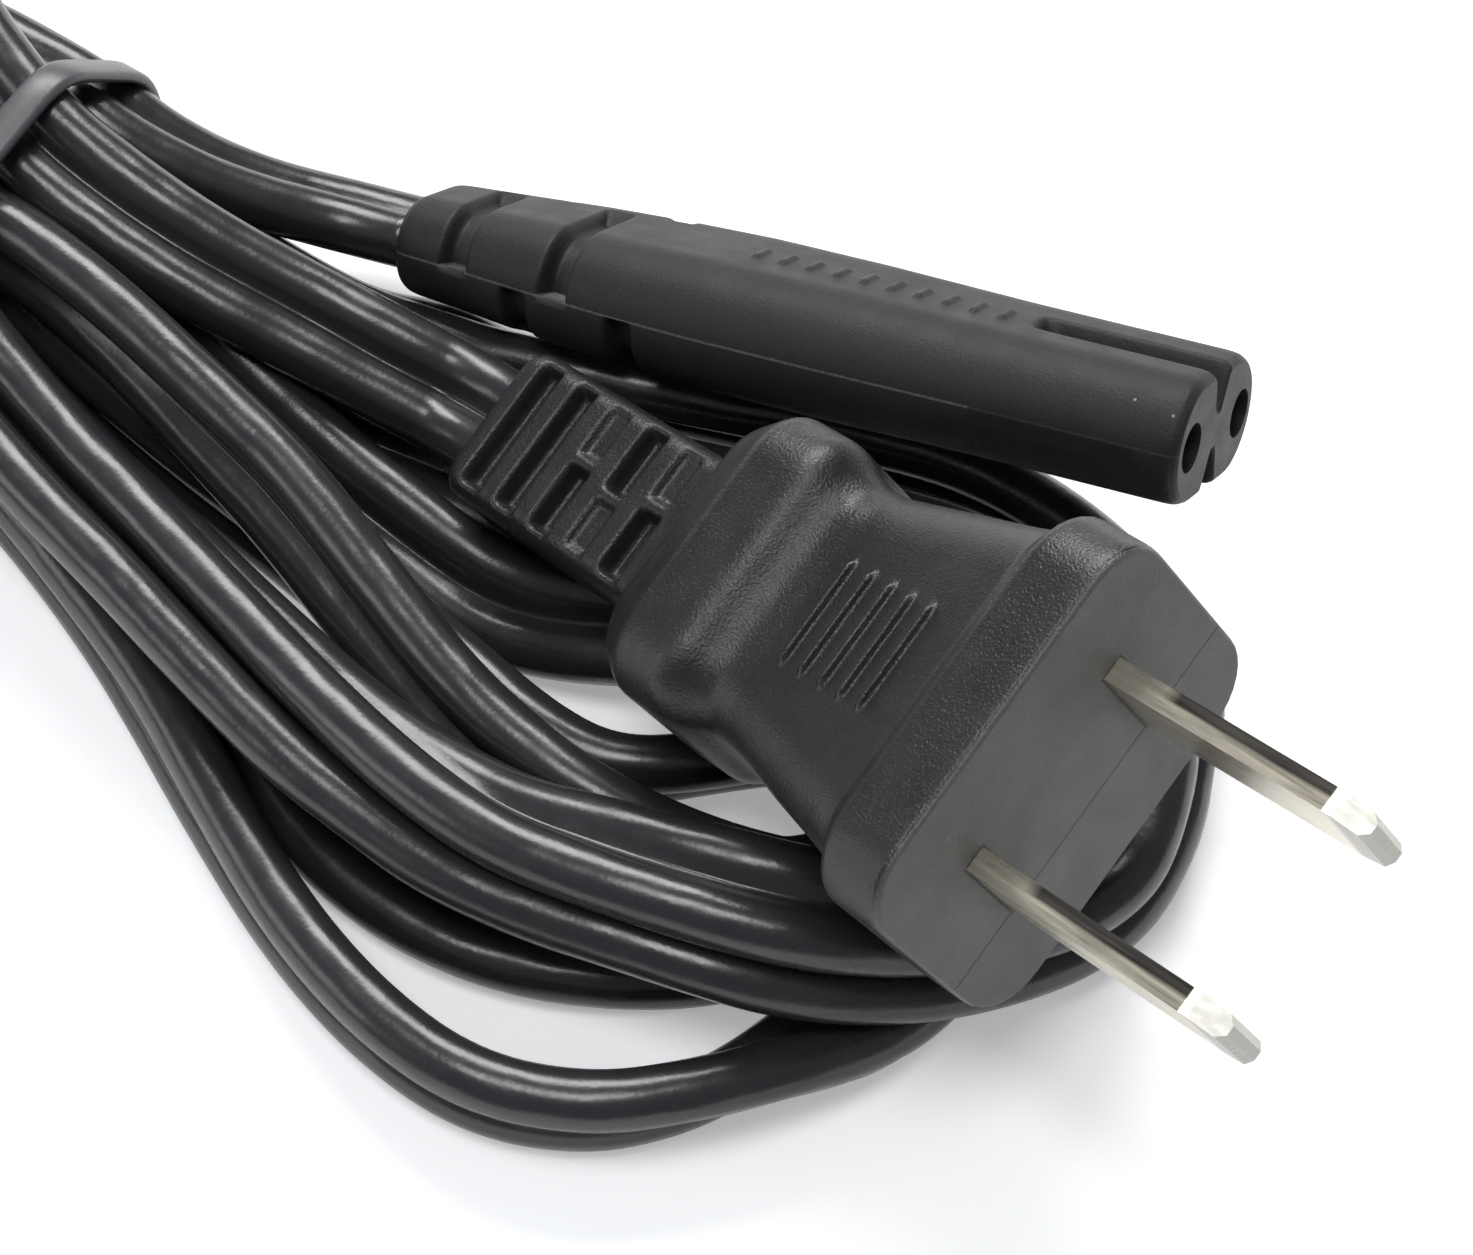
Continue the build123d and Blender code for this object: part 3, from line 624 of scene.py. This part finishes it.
# %% Rows of the plug: place on the axis, half width, half height, corner radius
PLUG_FACE = Vector((67.1054, -2.8602, 24.0)) * MM
PLUG_AXIS = Vector((0.9305, -0.1898, 0.3133))
PLUG_SIDE = Vector((0.0790, 0.9392, 0.3342))
PLUG_UP = Vector((-0.3577, -0.2863, 0.8889))
PLUG_ROWS = [
    (-48.0, 4.7, 3.1, 1.5), (-47.8, 5.1, 3.5, 1.6), (-47.3, 5.3, 3.7, 1.5), (-46.6, 5.3, 3.7, 1.4),
    (-30.4, 5.3, 3.75, 1.4), (-29.7, 5.5, 3.9, 1.6), (-29.3, 7.4, 4.8, 2.8), (-28.6, 8.5, 5.7, 3.4),
    (-27.0, 9.2, 6.75, 3.6), (-25.8, 9.6, 7.65, 3.7), (-25.2, 9.75, 8.05, 3.8), (-21.7, 9.75, 8.15, 3.8),
    (-20.9, 9.5, 7.9, 3.7), (-19.7, 8.9, 7.0, 3.6), (-18.6, 8.6, 6.5, 3.5), (-17.0, 8.75, 6.5, 3.5),
    (-12.0, 9.9, 7.35, 3.8), (-7.5, 10.8, 8.35, 4.0), (-5.6, 11.3, 8.7, 4.0), (-5.15, 11.6, 8.85, 4.0),
    (-4.95, 12.2, 9.15, 4.0), (-4.5, 12.62, 9.4, 4.0), (-4.0, 12.7, 9.45, 4.0), (-0.45, 12.7, 9.45, 4.0),
    (-0.12, 12.6, 9.35, 3.9), (0.0, 12.35, 9.1, 3.7),
]
PLUG_ROW_REACH = 0.35

# Skin of the plug: (start, end, step) runs along the axis, and points on each run of the section
PLUG_RUNS = [
    (-48.0, -46.5, 0.1), (-46.5, -30.4, 0.16), (-30.4, -16.4, 0.2), (-16.4, -7.6, 0.1),
    (-7.6, -5.6, 0.2), (-5.6, -4.0, 0.08), (-4.0, -0.5, 0.5), (-0.5, 0.0, 0.05),
]
PLUG_COUNTS = (44, 16, 8)

# Slots of the sleeve: place on the axis, middle across, half length, depth
SLEEVE_SLOTS = [
    (-45.4, 0.0, 4.3, 1.4), (-42.1, 0.0, 4.3, 1.4), (-38.8, -2.2, 2.15, 1.4), (-38.8, 2.6, 1.65, 0.55),
    (-35.5, 2.2, 2.15, 1.4), (-35.5, -2.6, 1.65, 0.55), (-32.2, -2.2, 2.15, 1.4), (-32.2, 2.6, 1.65, 0.55),
]
SLOT_HALF_WIDTH = 0.8
SLOT_SOFT = 0.5
SLOT_END_SOFT = 0.6
GRIP_RIBS = [-8.5 - 1.77 * k for k in range(5)]
RIB_HEIGHT = 0.45
RIB_HALF_WIDTH = 0.20
RIB_HALF_LENGTH = 3.4
RIB_SOFT = 0.36
RIB_END_SOFT = 0.6
BROAD_FACE = 0.6


# %% Loft of rounded rectangles
def row_at(rows, x):
    """The row at a place on the axis, eased between the rows on both sides."""
    for first, second in zip(rows, rows[1:]):
        if x <= second[0]:
            share = (x - first[0]) / (second[0] - first[0])
            return [a + (b - a) * share for a, b in zip(first[1:], second[1:])]
    return list(rows[-1][1:])


def smooth_rows(rows, places, reach):
    """Rows at the places, each the mean of nine rows around it, so that corners between rows are soft."""
    found = []
    for x in places:
        ends = min(reach, x - places[0], places[-1] - x)
        near = [row_at(rows, x + ends * k / 4) for k in range(-4, 5)]
        found.append([sum(column) / len(near) for column in zip(*near)])
    return found


def rounded_rectangle(a, b, r, on_width, on_height, on_corner):
    """Points round a rectangle with half sides a and b and corner radius r, evenly spread on each run."""
    places = []
    for quarter, (sy, sz) in enumerate(((1, 1), (-1, 1), (-1, -1), (1, -1))):
        for k in range(on_corner):
            angle = math.pi / 2 * (quarter + k / on_corner)
            places.append((sy * (a - r) + r * math.cos(angle), sz * (b - r) + r * math.sin(angle)))
        corner = math.pi / 2 * (quarter + 1)
        start = (sy * (a - r) + r * math.cos(corner), sz * (b - r) + r * math.sin(corner))
        ny, nz = ((-1, 1), (-1, -1), (1, -1), (1, 1))[quarter]
        end = (ny * (a - r) + r * math.cos(corner), nz * (b - r) + r * math.sin(corner))
        count = on_width if quarter % 2 == 0 else on_height
        places += [
            (start[0] + (end[0] - start[0]) * k / count, start[1] + (end[1] - start[1]) * k / count)
            for k in range(count)
        ]
    return places


def step_between(value, low, high):
    """0 below low, 1 above high, and a smooth step between."""
    share = min(1.0, max(0.0, (value - low) / (high - low)))
    return share * share * (3 - 2 * share)


def window(distance, half, soft):
    """1 within half of the middle, fading to 0 over the soft width outside it."""
    return 1.0 - step_between(abs(distance), half - soft / 2, half + soft / 2)


def plug_relief(x, y, z, height):
    """How far a point of the plug moves out, for the ribs, or in, for the slots."""
    if abs(z) < BROAD_FACE * height:
        return 0.0
    move = 0.0
    for slot_x, slot_y, half, depth in SLEEVE_SLOTS:
        across = window(x - slot_x, SLOT_HALF_WIDTH, SLOT_SOFT)
        move -= depth * across * window(y - slot_y, half, SLOT_END_SOFT)
    for rib_x in GRIP_RIBS:
        across = window(x - rib_x, RIB_HALF_WIDTH, RIB_SOFT)
        move += RIB_HEIGHT * across * window(y, RIB_HALF_LENGTH, RIB_END_SOFT)
    return move


def loft(name, rows, places, reach, counts, frame_axes, relief):
    """A closed skin through rounded rectangles, in millimetres along its own axes."""
    origin, axis, side, up = frame_axes
    body = bmesh.new()
    rings = []
    for x, (a, b, r) in zip(places, smooth_rows(rows, places, reach)):
        ring = []
        for y, z in rounded_rectangle(a, b, r, *counts):
            move = relief(x, y, z, b)
            z += move if z > 0 else -move
            ring.append(body.verts.new(origin + (axis * x + side * y + up * z) * MM))
        rings.append(ring)
    add_rings(body, rings)
    return piece_from(name, body)


def spread(runs):
    """Places along an axis: (start, end, step) runs joined up."""
    places = []
    for start, end, step in runs:
        count = max(1, round((end - start) / step))
        places += [start + (end - start) * k / count for k in range(count)]
    return places + [runs[-1][1]]


plug_axes = (PLUG_FACE, PLUG_AXIS, PLUG_SIDE, PLUG_UP)
plug_moulding = loft(
    "plug_moulding", PLUG_ROWS, spread(PLUG_RUNS), PLUG_ROW_REACH, PLUG_COUNTS, plug_axes, plug_relief
)
print("plug triangles", 2 * len(plug_moulding.data.polygons))

# %% [markdown]
# ## The connector's moulding
#
# The connector is one soft moulding too: two lobes with a groove between them, a row of fine ticks on top,
# and a sleeve whose slots sit on one side and then the other, so that it bends easily. It is made in the
# same way as the plug. The slots go round a curved side, so there the points move towards the axis and
# not straight down. The two pin holes are real holes, cut with a boolean, because light falls into them.

# %% Rows of the connector: place on the axis, half width, half height, corner radius
CONNECTOR_FACE = Vector((60.8554, 25.6598, 17.86)) * MM
CONNECTOR_AXIS = Vector((0.9665, 0.1574, 0.2028))
CONNECTOR_SIDE = Vector((-0.0087, 0.8096, -0.5869))
CONNECTOR_UP = Vector((-0.2566, 0.5654, 0.7839))
CONNECTOR_ROWS = [
    (-55.0, 4.3, 2.9, 2.7), (-54.7, 4.7, 3.2, 3.0), (-54.0, 4.9, 3.35, 3.2), (-50.0, 5.4, 3.55, 3.4),
    (-44.0, 6.3, 3.85, 3.7), (-38.0, 7.0, 4.05, 4.0), (-32.0, 7.3, 4.2, 4.15), (-24.0, 7.25, 4.2, 4.15),
    (-14.0, 7.0, 4.05, 4.0), (-0.9, 6.9, 4.0, 3.95), (-0.25, 6.75, 3.85, 3.8), (0.0, 6.4, 3.5, 3.45),
]
CONNECTOR_ROW_REACH = 0.3

# Skin of the connector: (start, end, step) runs along the axis, and points on each run of the section
CONNECTOR_RUNS = [
    (-55.0, -54.0, 0.1), (-54.0, -36.0, 0.16), (-36.0, -31.8, 0.3), (-31.8, -13.2, 0.12),
    (-13.2, -10.5, 0.15), (-10.5, -0.9, 0.4), (-0.9, 0.0, 0.06),
]
CONNECTOR_COUNTS = (44, 2, 16)

TICKS = [-30.9 + 1.86 * k for k in range(10)]
TICK_HEIGHT = 0.20
TICK_HALF_WIDTH = 0.26
TICK_HALF_LENGTH = 1.0
TICK_MIDDLE = -0.2
GROOVE_END = -12.4
GROOVE_DISH = 1.6
GROOVE_DEPTH = 2.5
GROOVE_FLOOR_HALF = 0.25
GROOVE_MOUTH_HALF = 1.45

# Slots of the sleeve, by their places on the axis, and how much of the radius they take away
TOP_SLOTS = (-50.2, -42.3)
TOP_SLOT_SHARE = 0.22
TOP_SLOT_REACH = 2.6
FAR_SLOTS = (-47.0, -38.6)
NEAR_SLOTS = (-45.3, -37.2)
SIDE_SLOT_SHARE = 0.16
SIDE_SLOT_FROM = 3.0
DEEPEST_SHARE = 0.25

# The shallow recess low on the near side
RECESS_SHARE = 0.016
RECESS_MIDDLE_X = -8.0
RECESS_HALF_LENGTH = 5.2
RECESS_MIDDLE_Z = -1.5
RECESS_HALF_HEIGHT = 1.2
RECESS_FROM_Y = -5.0

HOLE_Y = 4.3
HOLE_RADIUS = 1.55
HOLE_DEPTH = 13.0
HOLE_SIDES = 48


def groove_depth(x, y):
    """The depth of the groove between the lobes: a steep V with a dished end."""
    into = step_between(x, GROOVE_END, GROOVE_END + GROOVE_DISH)
    return GROOVE_DEPTH * into * (1.0 - step_between(abs(y), GROOVE_FLOOR_HALF, GROOVE_MOUTH_HALF))


def connector_relief(x, y, z, height):
    """How far a point moves along the short direction of the section."""
    if abs(z) < BROAD_FACE * height:
        return 0.0
    move = -groove_depth(x, y)
    if z > 0:
        for tick_x in TICKS:
            along = window(y - TICK_MIDDLE, TICK_HALF_LENGTH, 0.5)
            move += TICK_HEIGHT * window(x - tick_x, TICK_HALF_WIDTH, 0.3) * along
    return move


def connector_squeeze(x, y, z):
    """The share by which a point moves towards the axis, for the sleeve's slots and the long recess."""
    share = 0.0
    near_half = step_between(TOP_SLOT_REACH - math.copysign(1, z) * y, 0.0, 0.8)
    far_edge = step_between(y, SIDE_SLOT_FROM, SIDE_SLOT_FROM + 0.6)
    near_edge = step_between(-y, SIDE_SLOT_FROM, SIDE_SLOT_FROM + 0.6) * step_between(-z, 0.1, 0.5)
    for slot_x in TOP_SLOTS:
        share += TOP_SLOT_SHARE * window(x - slot_x, 0.85, 0.7) * near_half
    for slot_x in FAR_SLOTS:
        share += SIDE_SLOT_SHARE * window(x - slot_x, 0.8, 0.7) * far_edge
    for slot_x in NEAR_SLOTS:
        share += SIDE_SLOT_SHARE * window(x - slot_x, 0.8, 0.6) * near_edge
    if y < RECESS_FROM_Y:
        along = window(x - RECESS_MIDDLE_X, RECESS_HALF_LENGTH, 0.3)
        share += RECESS_SHARE * along * window(z - RECESS_MIDDLE_Z, RECESS_HALF_HEIGHT, 0.3)
    return min(share, DEEPEST_SHARE)


def squeeze_piece(piece, frame_axes, amount):
    """Moves a loft's points towards its axis by a share that depends on their place."""
    origin, axis, side, up = frame_axes
    for vertex in piece.data.vertices:
        local = (vertex.co - origin) / MM
        x, y, z = local.dot(axis), local.dot(side), local.dot(up)
        share = amount(x, y, z)
        if share:
            vertex.co -= (side * y + up * z) * share * MM


connector_axes = (CONNECTOR_FACE, CONNECTOR_AXIS, CONNECTOR_SIDE, CONNECTOR_UP)
connector_moulding = loft(
    "connector_moulding", CONNECTOR_ROWS, spread(CONNECTOR_RUNS), CONNECTOR_ROW_REACH, CONNECTOR_COUNTS,
    connector_axes, connector_relief,
)
squeeze_piece(connector_moulding, connector_axes, connector_squeeze)


# %% Pin holes
def pin_cutter(y):
    """A many-sided rod where a pin goes in."""
    body = bmesh.new()
    rings = []
    for x in (-HOLE_DEPTH, 1.0):
        ring = []
        for k in range(HOLE_SIDES):
            angle = 2 * math.pi * k / HOLE_SIDES
            offset = CONNECTOR_SIDE * (y + HOLE_RADIUS * math.cos(angle))
            offset += CONNECTOR_UP * HOLE_RADIUS * math.sin(angle)
            ring.append(body.verts.new(CONNECTOR_FACE + (CONNECTOR_AXIS * x + offset) * MM))
        rings.append(ring)
    add_rings(body, rings)
    return piece_from("pin_cutter", body, smooth=False)


for y in (-HOLE_Y, HOLE_Y):
    cutter = pin_cutter(y)
    cut = connector_moulding.modifiers.new("pin_hole", "BOOLEAN")
    cut.operation = "DIFFERENCE"
    cut.solver = "EXACT"
    cut.object = cutter
    bpy.context.view_layer.update()
    evaluated = connector_moulding.evaluated_get(bpy.context.evaluated_depsgraph_get())
    drilled = bpy.data.meshes.new_from_object(evaluated)
    connector_moulding.modifiers.remove(cut)
    connector_moulding.data = drilled
    bpy.data.objects.remove(cutter)
connector_moulding.data.name = "connector_moulding"
print("connector faces", len(connector_moulding.data.polygons))

# %% [markdown]
# ## The cord's finish
#
# The insulation is soft black PVC, smooth from the extruder. It has a clear sheen but no mirror shine,
# a faint orange peel, slow waves where it was bent, and a little dust. A clear coat could give the sheen,
# but the plastic shines by itself, so a fairly low roughness gives it, and the waves come from a bump with
# large grains.

# %% Black PVC
black_pvc, tree, shader = new_finish("black_pvc")
where = object_coordinates(tree)
mottle = noise(tree, where, 3.0 * MM)
peel = noise(tree, where, 0.35 * MM, detail=2.0)
waves = noise(tree, where, 5.0 * MM, detail=1.0)
dust = specks(tree, where, 5.2 * MM, 0.10 * MM)
body_colour = mixed(tree, mottle, (0.0165, 0.0170, 0.0190), (0.0235, 0.0240, 0.0270))
tree.links.new(mixed(tree, dust, body_colour, (0.22, 0.22, 0.21)), shader.inputs["Base Color"])
smear = noise(tree, where, 1.6 * MM)
tree.links.new(ranged(tree, smear, 0.22, 0.31), shader.inputs["Roughness"])
bump(tree, shader, [(waves, 0.25 * MM), (peel, 0.012 * MM)])
cord.data.materials.append(black_pvc)

# %% [markdown]
# ## Finishes of the mouldings and metals
#
# The plug is moulded in a polished tool with a fine grain on its face, so its grip shines softly while
# the face is dull and a little grey. The connector's tool is eroded, which leaves it matt all over. The
# blades are stamped brass with a nickel plating, streaked along their length. Each finish finds its own
# marks, such as a parting line, by how far a point lies along the piece's axes, so they need no modelling.

# %% Plug moulding
BLADE_OFFSET = 6.35 * MM
BLADE_HALF_THICKNESS = 0.75 * MM
BLADE_HALF_WIDTH = 3.175 * MM
PARTING_BELOW = 3.15 * MM
FACE_SKIN = (-0.30 * MM, -0.02 * MM)

plug_finish, tree, shader = new_finish("plug_moulding_black")
where = object_coordinates(tree)
on_face = ranged(tree, distance_along(tree, PLUG_FACE, PLUG_AXIS), 0.0, 1.0, *FACE_SKIN)
face_y = size_of(tree, distance_along(tree, PLUG_FACE, PLUG_SIDE))
face_z = distance_along(tree, PLUG_FACE, PLUG_UP)
parting = seam(tree, combine(tree, "ADD", face_z, PARTING_BELOW), 0.09 * MM)
from_blade_y = size_of(tree, combine(tree, "SUBTRACT", face_y, BLADE_OFFSET))
from_blade_y = combine(tree, "SUBTRACT", from_blade_y, BLADE_HALF_THICKNESS)
from_blade_z = combine(tree, "SUBTRACT", size_of(tree, face_z), BLADE_HALF_WIDTH)
root = ranged(tree, combine(tree, "MAXIMUM", from_blade_y, from_blade_z), 1.0, 0.0, 0.10 * MM, 0.22 * MM)
lines = product(tree, combine(tree, "MAXIMUM", parting, root), on_face)
grain = noise(tree, where, 0.17 * MM)
waves = noise(tree, where, 4.0 * MM, detail=1.0)
mottle = noise(tree, where, 1.8 * MM)
dust = specks(tree, where, 3.4 * MM, 0.09 * MM)
grip_colour = mixed(tree, mottle, (0.0085, 0.0086, 0.0100), (0.0125, 0.0125, 0.0140))
face_colour = mixed(tree, grain, (0.066, 0.066, 0.065), (0.102, 0.102, 0.100))
colour = mixed(tree, on_face, grip_colour, face_colour)
colour = mixed(tree, dust, colour, (0.17, 0.17, 0.16))
tree.links.new(mixed(tree, lines, colour, (0.006, 0.006, 0.006)), shader.inputs["Base Color"])
smear = ranged(tree, noise(tree, where, 2.6 * MM), 0.27, 0.37)
duller = product(tree, on_face, 0.24)
tree.links.new(combine(tree, "ADD", smear, duller), shader.inputs["Roughness"])
bump(tree, shader, [(waves, 0.12 * MM), (grain, 0.055 * MM)])

# %% Connector moulding
FLASH_SIDE = (-5.0 * MM, -4.0 * MM)
FLASH_END = (-13.4 * MM, -13.2 * MM)

connector_finish, tree, shader = new_finish("connector_moulding_grey_black", specular=0.26)
where = object_coordinates(tree)
grain = noise(tree, where, 0.20 * MM, detail=4.0, roughness=0.65)
mottle = noise(tree, where, 2.4 * MM)
dust = specks(tree, where, 3.0 * MM, 0.10 * MM)
body_colour = mixed(tree, mottle, (0.0115, 0.0115, 0.0125), (0.0170, 0.0170, 0.0182))
flash = seam(tree, distance_along(tree, CONNECTOR_FACE, CONNECTOR_UP), 0.10 * MM)
near_side = ranged(tree, distance_along(tree, CONNECTOR_FACE, CONNECTOR_SIDE), 1.0, 0.0, *FLASH_SIDE)
behind_recess = ranged(tree, distance_along(tree, CONNECTOR_FACE, CONNECTOR_AXIS), 1.0, 0.25, *FLASH_END)
flash = product(tree, flash, near_side, behind_recess, ranged(tree, grain, 0.2, 0.9))
colour = mixed(tree, dust, body_colour, (0.20, 0.20, 0.19))
tree.links.new(mixed(tree, flash, colour, (0.13, 0.13, 0.13)), shader.inputs["Base Color"])
tree.links.new(ranged(tree, mottle, 0.46, 0.56), shader.inputs["Roughness"])
bump(tree, shader, [(grain, 0.04 * MM)])

# %% [markdown]
# ## Finish of the blades
#
# A blade is sheared from strip and then pressed, so its narrow edge shows two bands: a bright rough one
# and a smooth one that begins a little off the face. The smooth band is given a dark colour, which is a
# painted reflection of the dark room in its polish. The bands could be two strips of geometry, but they
# lie in one plane, so the finish tells them apart by the distance across each blade. The bevelled tip is
# painted duller and hardly metallic, as painted shade that holds back the lamp's reflection there.

# %% Blades
STREAK_LENGTHENING = 0.05
# Where the painted dark reflection lies: across each blade, and from where to where along it
PAINTED_REFLECTION_FROM = (6.30 * MM, 6.50 * MM)
PAINTED_REFLECTION_START = (3.6 * MM, 4.6 * MM)
PAINTED_REFLECTION_END = (15.2 * MM, 15.6 * MM)
# Painted shade on the bevelled tips: where it starts along the blades, and how much metal it takes away
PAINTED_TIP_SHADE_FROM = (15.2 * MM, 15.8 * MM)
PAINTED_TIP_SHADE = 0.85

blade_finish, tree, shader = new_finish("nickel_plated_blades", metallic=1.0)
away = distance_along(tree, PLUG_FACE, PLUG_AXIS)
sideways = distance_along(tree, PLUG_FACE, PLUG_SIDE)
upwards = distance_along(tree, PLUG_FACE, PLUG_UP)
gather = tree.nodes.new("ShaderNodeCombineXYZ")
for socket, measure in zip(gather.inputs, (product(tree, away, STREAK_LENGTHENING), sideways, upwards)):
    tree.links.new(measure, socket)
streaks = noise(tree, gather.outputs["Vector"], 0.35 * MM, detail=4.0)
patches = noise(tree, object_coordinates(tree), 2.5 * MM)
colour = mixed(tree, streaks, (0.60, 0.55, 0.44), (0.92, 0.86, 0.72))
tarnish = ranged(tree, patches, 0.0, 0.35, 0.5, 0.75)
colour = mixed(tree, tarnish, colour, (0.50, 0.45, 0.37))
# Painted shade: the tip is greyed and hardly metallic, standing in for a dimmer reflection of the lamp
# there
painted_tip_shade = ranged(tree, away, 0.0, 1.0, *PAINTED_TIP_SHADE_FROM)
colour = mixed(tree, painted_tip_shade, colour, (0.45, 0.44, 0.39))
tree.links.new(combine(tree, "SUBTRACT", 1.0, product(tree, painted_tip_shade, PAINTED_TIP_SHADE)), shader.inputs["Metallic"])
across = combine(tree, "MODULO", combine(tree, "ADD", sideways, 4 * BLADE_OFFSET), 2 * BLADE_OFFSET)
# Painted reflection: the smooth band on one side of each blade gets a dark colour that stands in for the
# dark room mirrored in it
painted_dark_reflection = product(
    tree,
    ranged(tree, across, 0.0, 1.0, *PAINTED_REFLECTION_FROM),
    ranged(tree, away, 0.0, 1.0, *PAINTED_REFLECTION_START),
    ranged(tree, away, 1.0, 0.0, *PAINTED_REFLECTION_END),
)
painted_reflection_colour = mixed(tree, streaks, (0.05, 0.045, 0.042), (0.20, 0.185, 0.165))
colour = mixed(tree, painted_dark_reflection, colour, painted_reflection_colour)
tree.links.new(colour, shader.inputs["Base Color"])
tree.links.new(ranged(tree, streaks, 0.24, 0.38), shader.inputs["Roughness"])
bump(tree, shader, [(streaks, 0.004 * MM)])


# %% Contacts, copper, hard plastic, insulation and tie
def plain_finish(name, low, high, grain, roughness, depth, metallic=0.0):
    """A simple finish: two near colours, one roughness and one bump."""
    material, tree, shader = new_finish(name, metallic=metallic)
    pattern = noise(tree, object_coordinates(tree), grain)
    tree.links.new(mixed(tree, pattern, low, high), shader.inputs["Base Color"])
    shader.inputs["Roughness"].default_value = roughness
    bump(tree, shader, [(pattern, depth)])
    return material


contact_finish = plain_finish(
    "brass_contacts", (0.62, 0.47, 0.22), (0.76, 0.61, 0.33), 0.5 * MM, 0.32, 0.01 * MM, metallic=1.0
)
copper_finish = plain_finish(
    "copper_strands", (0.66, 0.36, 0.22), (0.78, 0.47, 0.30), 0.3 * MM, 0.35, 0.02 * MM, metallic=1.0
)
inner_finish = plain_finish(
    "pale_hard_plastic", (0.58, 0.58, 0.56), (0.66, 0.66, 0.63), 1.2 * MM, 0.45, 0.01 * MM
)
insulation_finish = plain_finish(
    "core_insulation_black", (0.013, 0.014, 0.016), (0.019, 0.020, 0.023), 2.0 * MM, 0.34, 0.01 * MM
)
tie_finish = plain_finish(
    "tie_grey", (0.060, 0.062, 0.067), (0.085, 0.087, 0.092), 0.8 * MM, 0.38, 0.02 * MM
)
steel_finish = plain_finish(
    "tie_steel", (0.42, 0.42, 0.42), (0.56, 0.56, 0.55), 0.5 * MM, 0.35, 0.01 * MM, metallic=1.0
)
print("finishes", len(bpy.data.materials))

# %% Give every rigid CAD piece its finish
FINISH_OF = {
    "plug_blade_carrier": inner_finish,
    "plug_blade_left": blade_finish,
    "plug_blade_right": blade_finish,
    "connector_contact_carrier": inner_finish,
    "contact_sleeve_left": contact_finish,
    "contact_sleeve_right": contact_finish,
}
for end in ("plug", "connector"):
    for side in ("left", "right"):
        FINISH_OF[f"{end}_core_{side}"] = insulation_finish
        FINISH_OF[f"{end}_conductor_{side}"] = copper_finish
for name, finish in FINISH_OF.items():
    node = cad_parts[name]
    if not node.data.materials:
        node.data.materials.append(finish)
    for held in node.material_slots:
        held.material = finish
print("finished CAD pieces", len(FINISH_OF))

# %% The new pieces stand for their CAD nodes
for piece, finish, node, slot in (
    (ribbon, tie_finish, "tie_ribbon", "tie"),
    (wire, steel_finish, "tie_wire", "tie_wire"),
    (plug_moulding, plug_finish, "plug_body", "plug_moulding"),
    (connector_moulding, connector_finish, "connector_body", "connector_moulding"),
):
    piece.data.materials.append(finish)
    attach(piece, "root")
    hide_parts(node)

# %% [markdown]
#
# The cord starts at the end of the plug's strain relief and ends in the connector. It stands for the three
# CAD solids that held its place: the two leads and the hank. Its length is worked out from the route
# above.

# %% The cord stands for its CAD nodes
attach(cord, "root")
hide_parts("cord_plug_lead", "cord_connector_lead", "cord_hank")
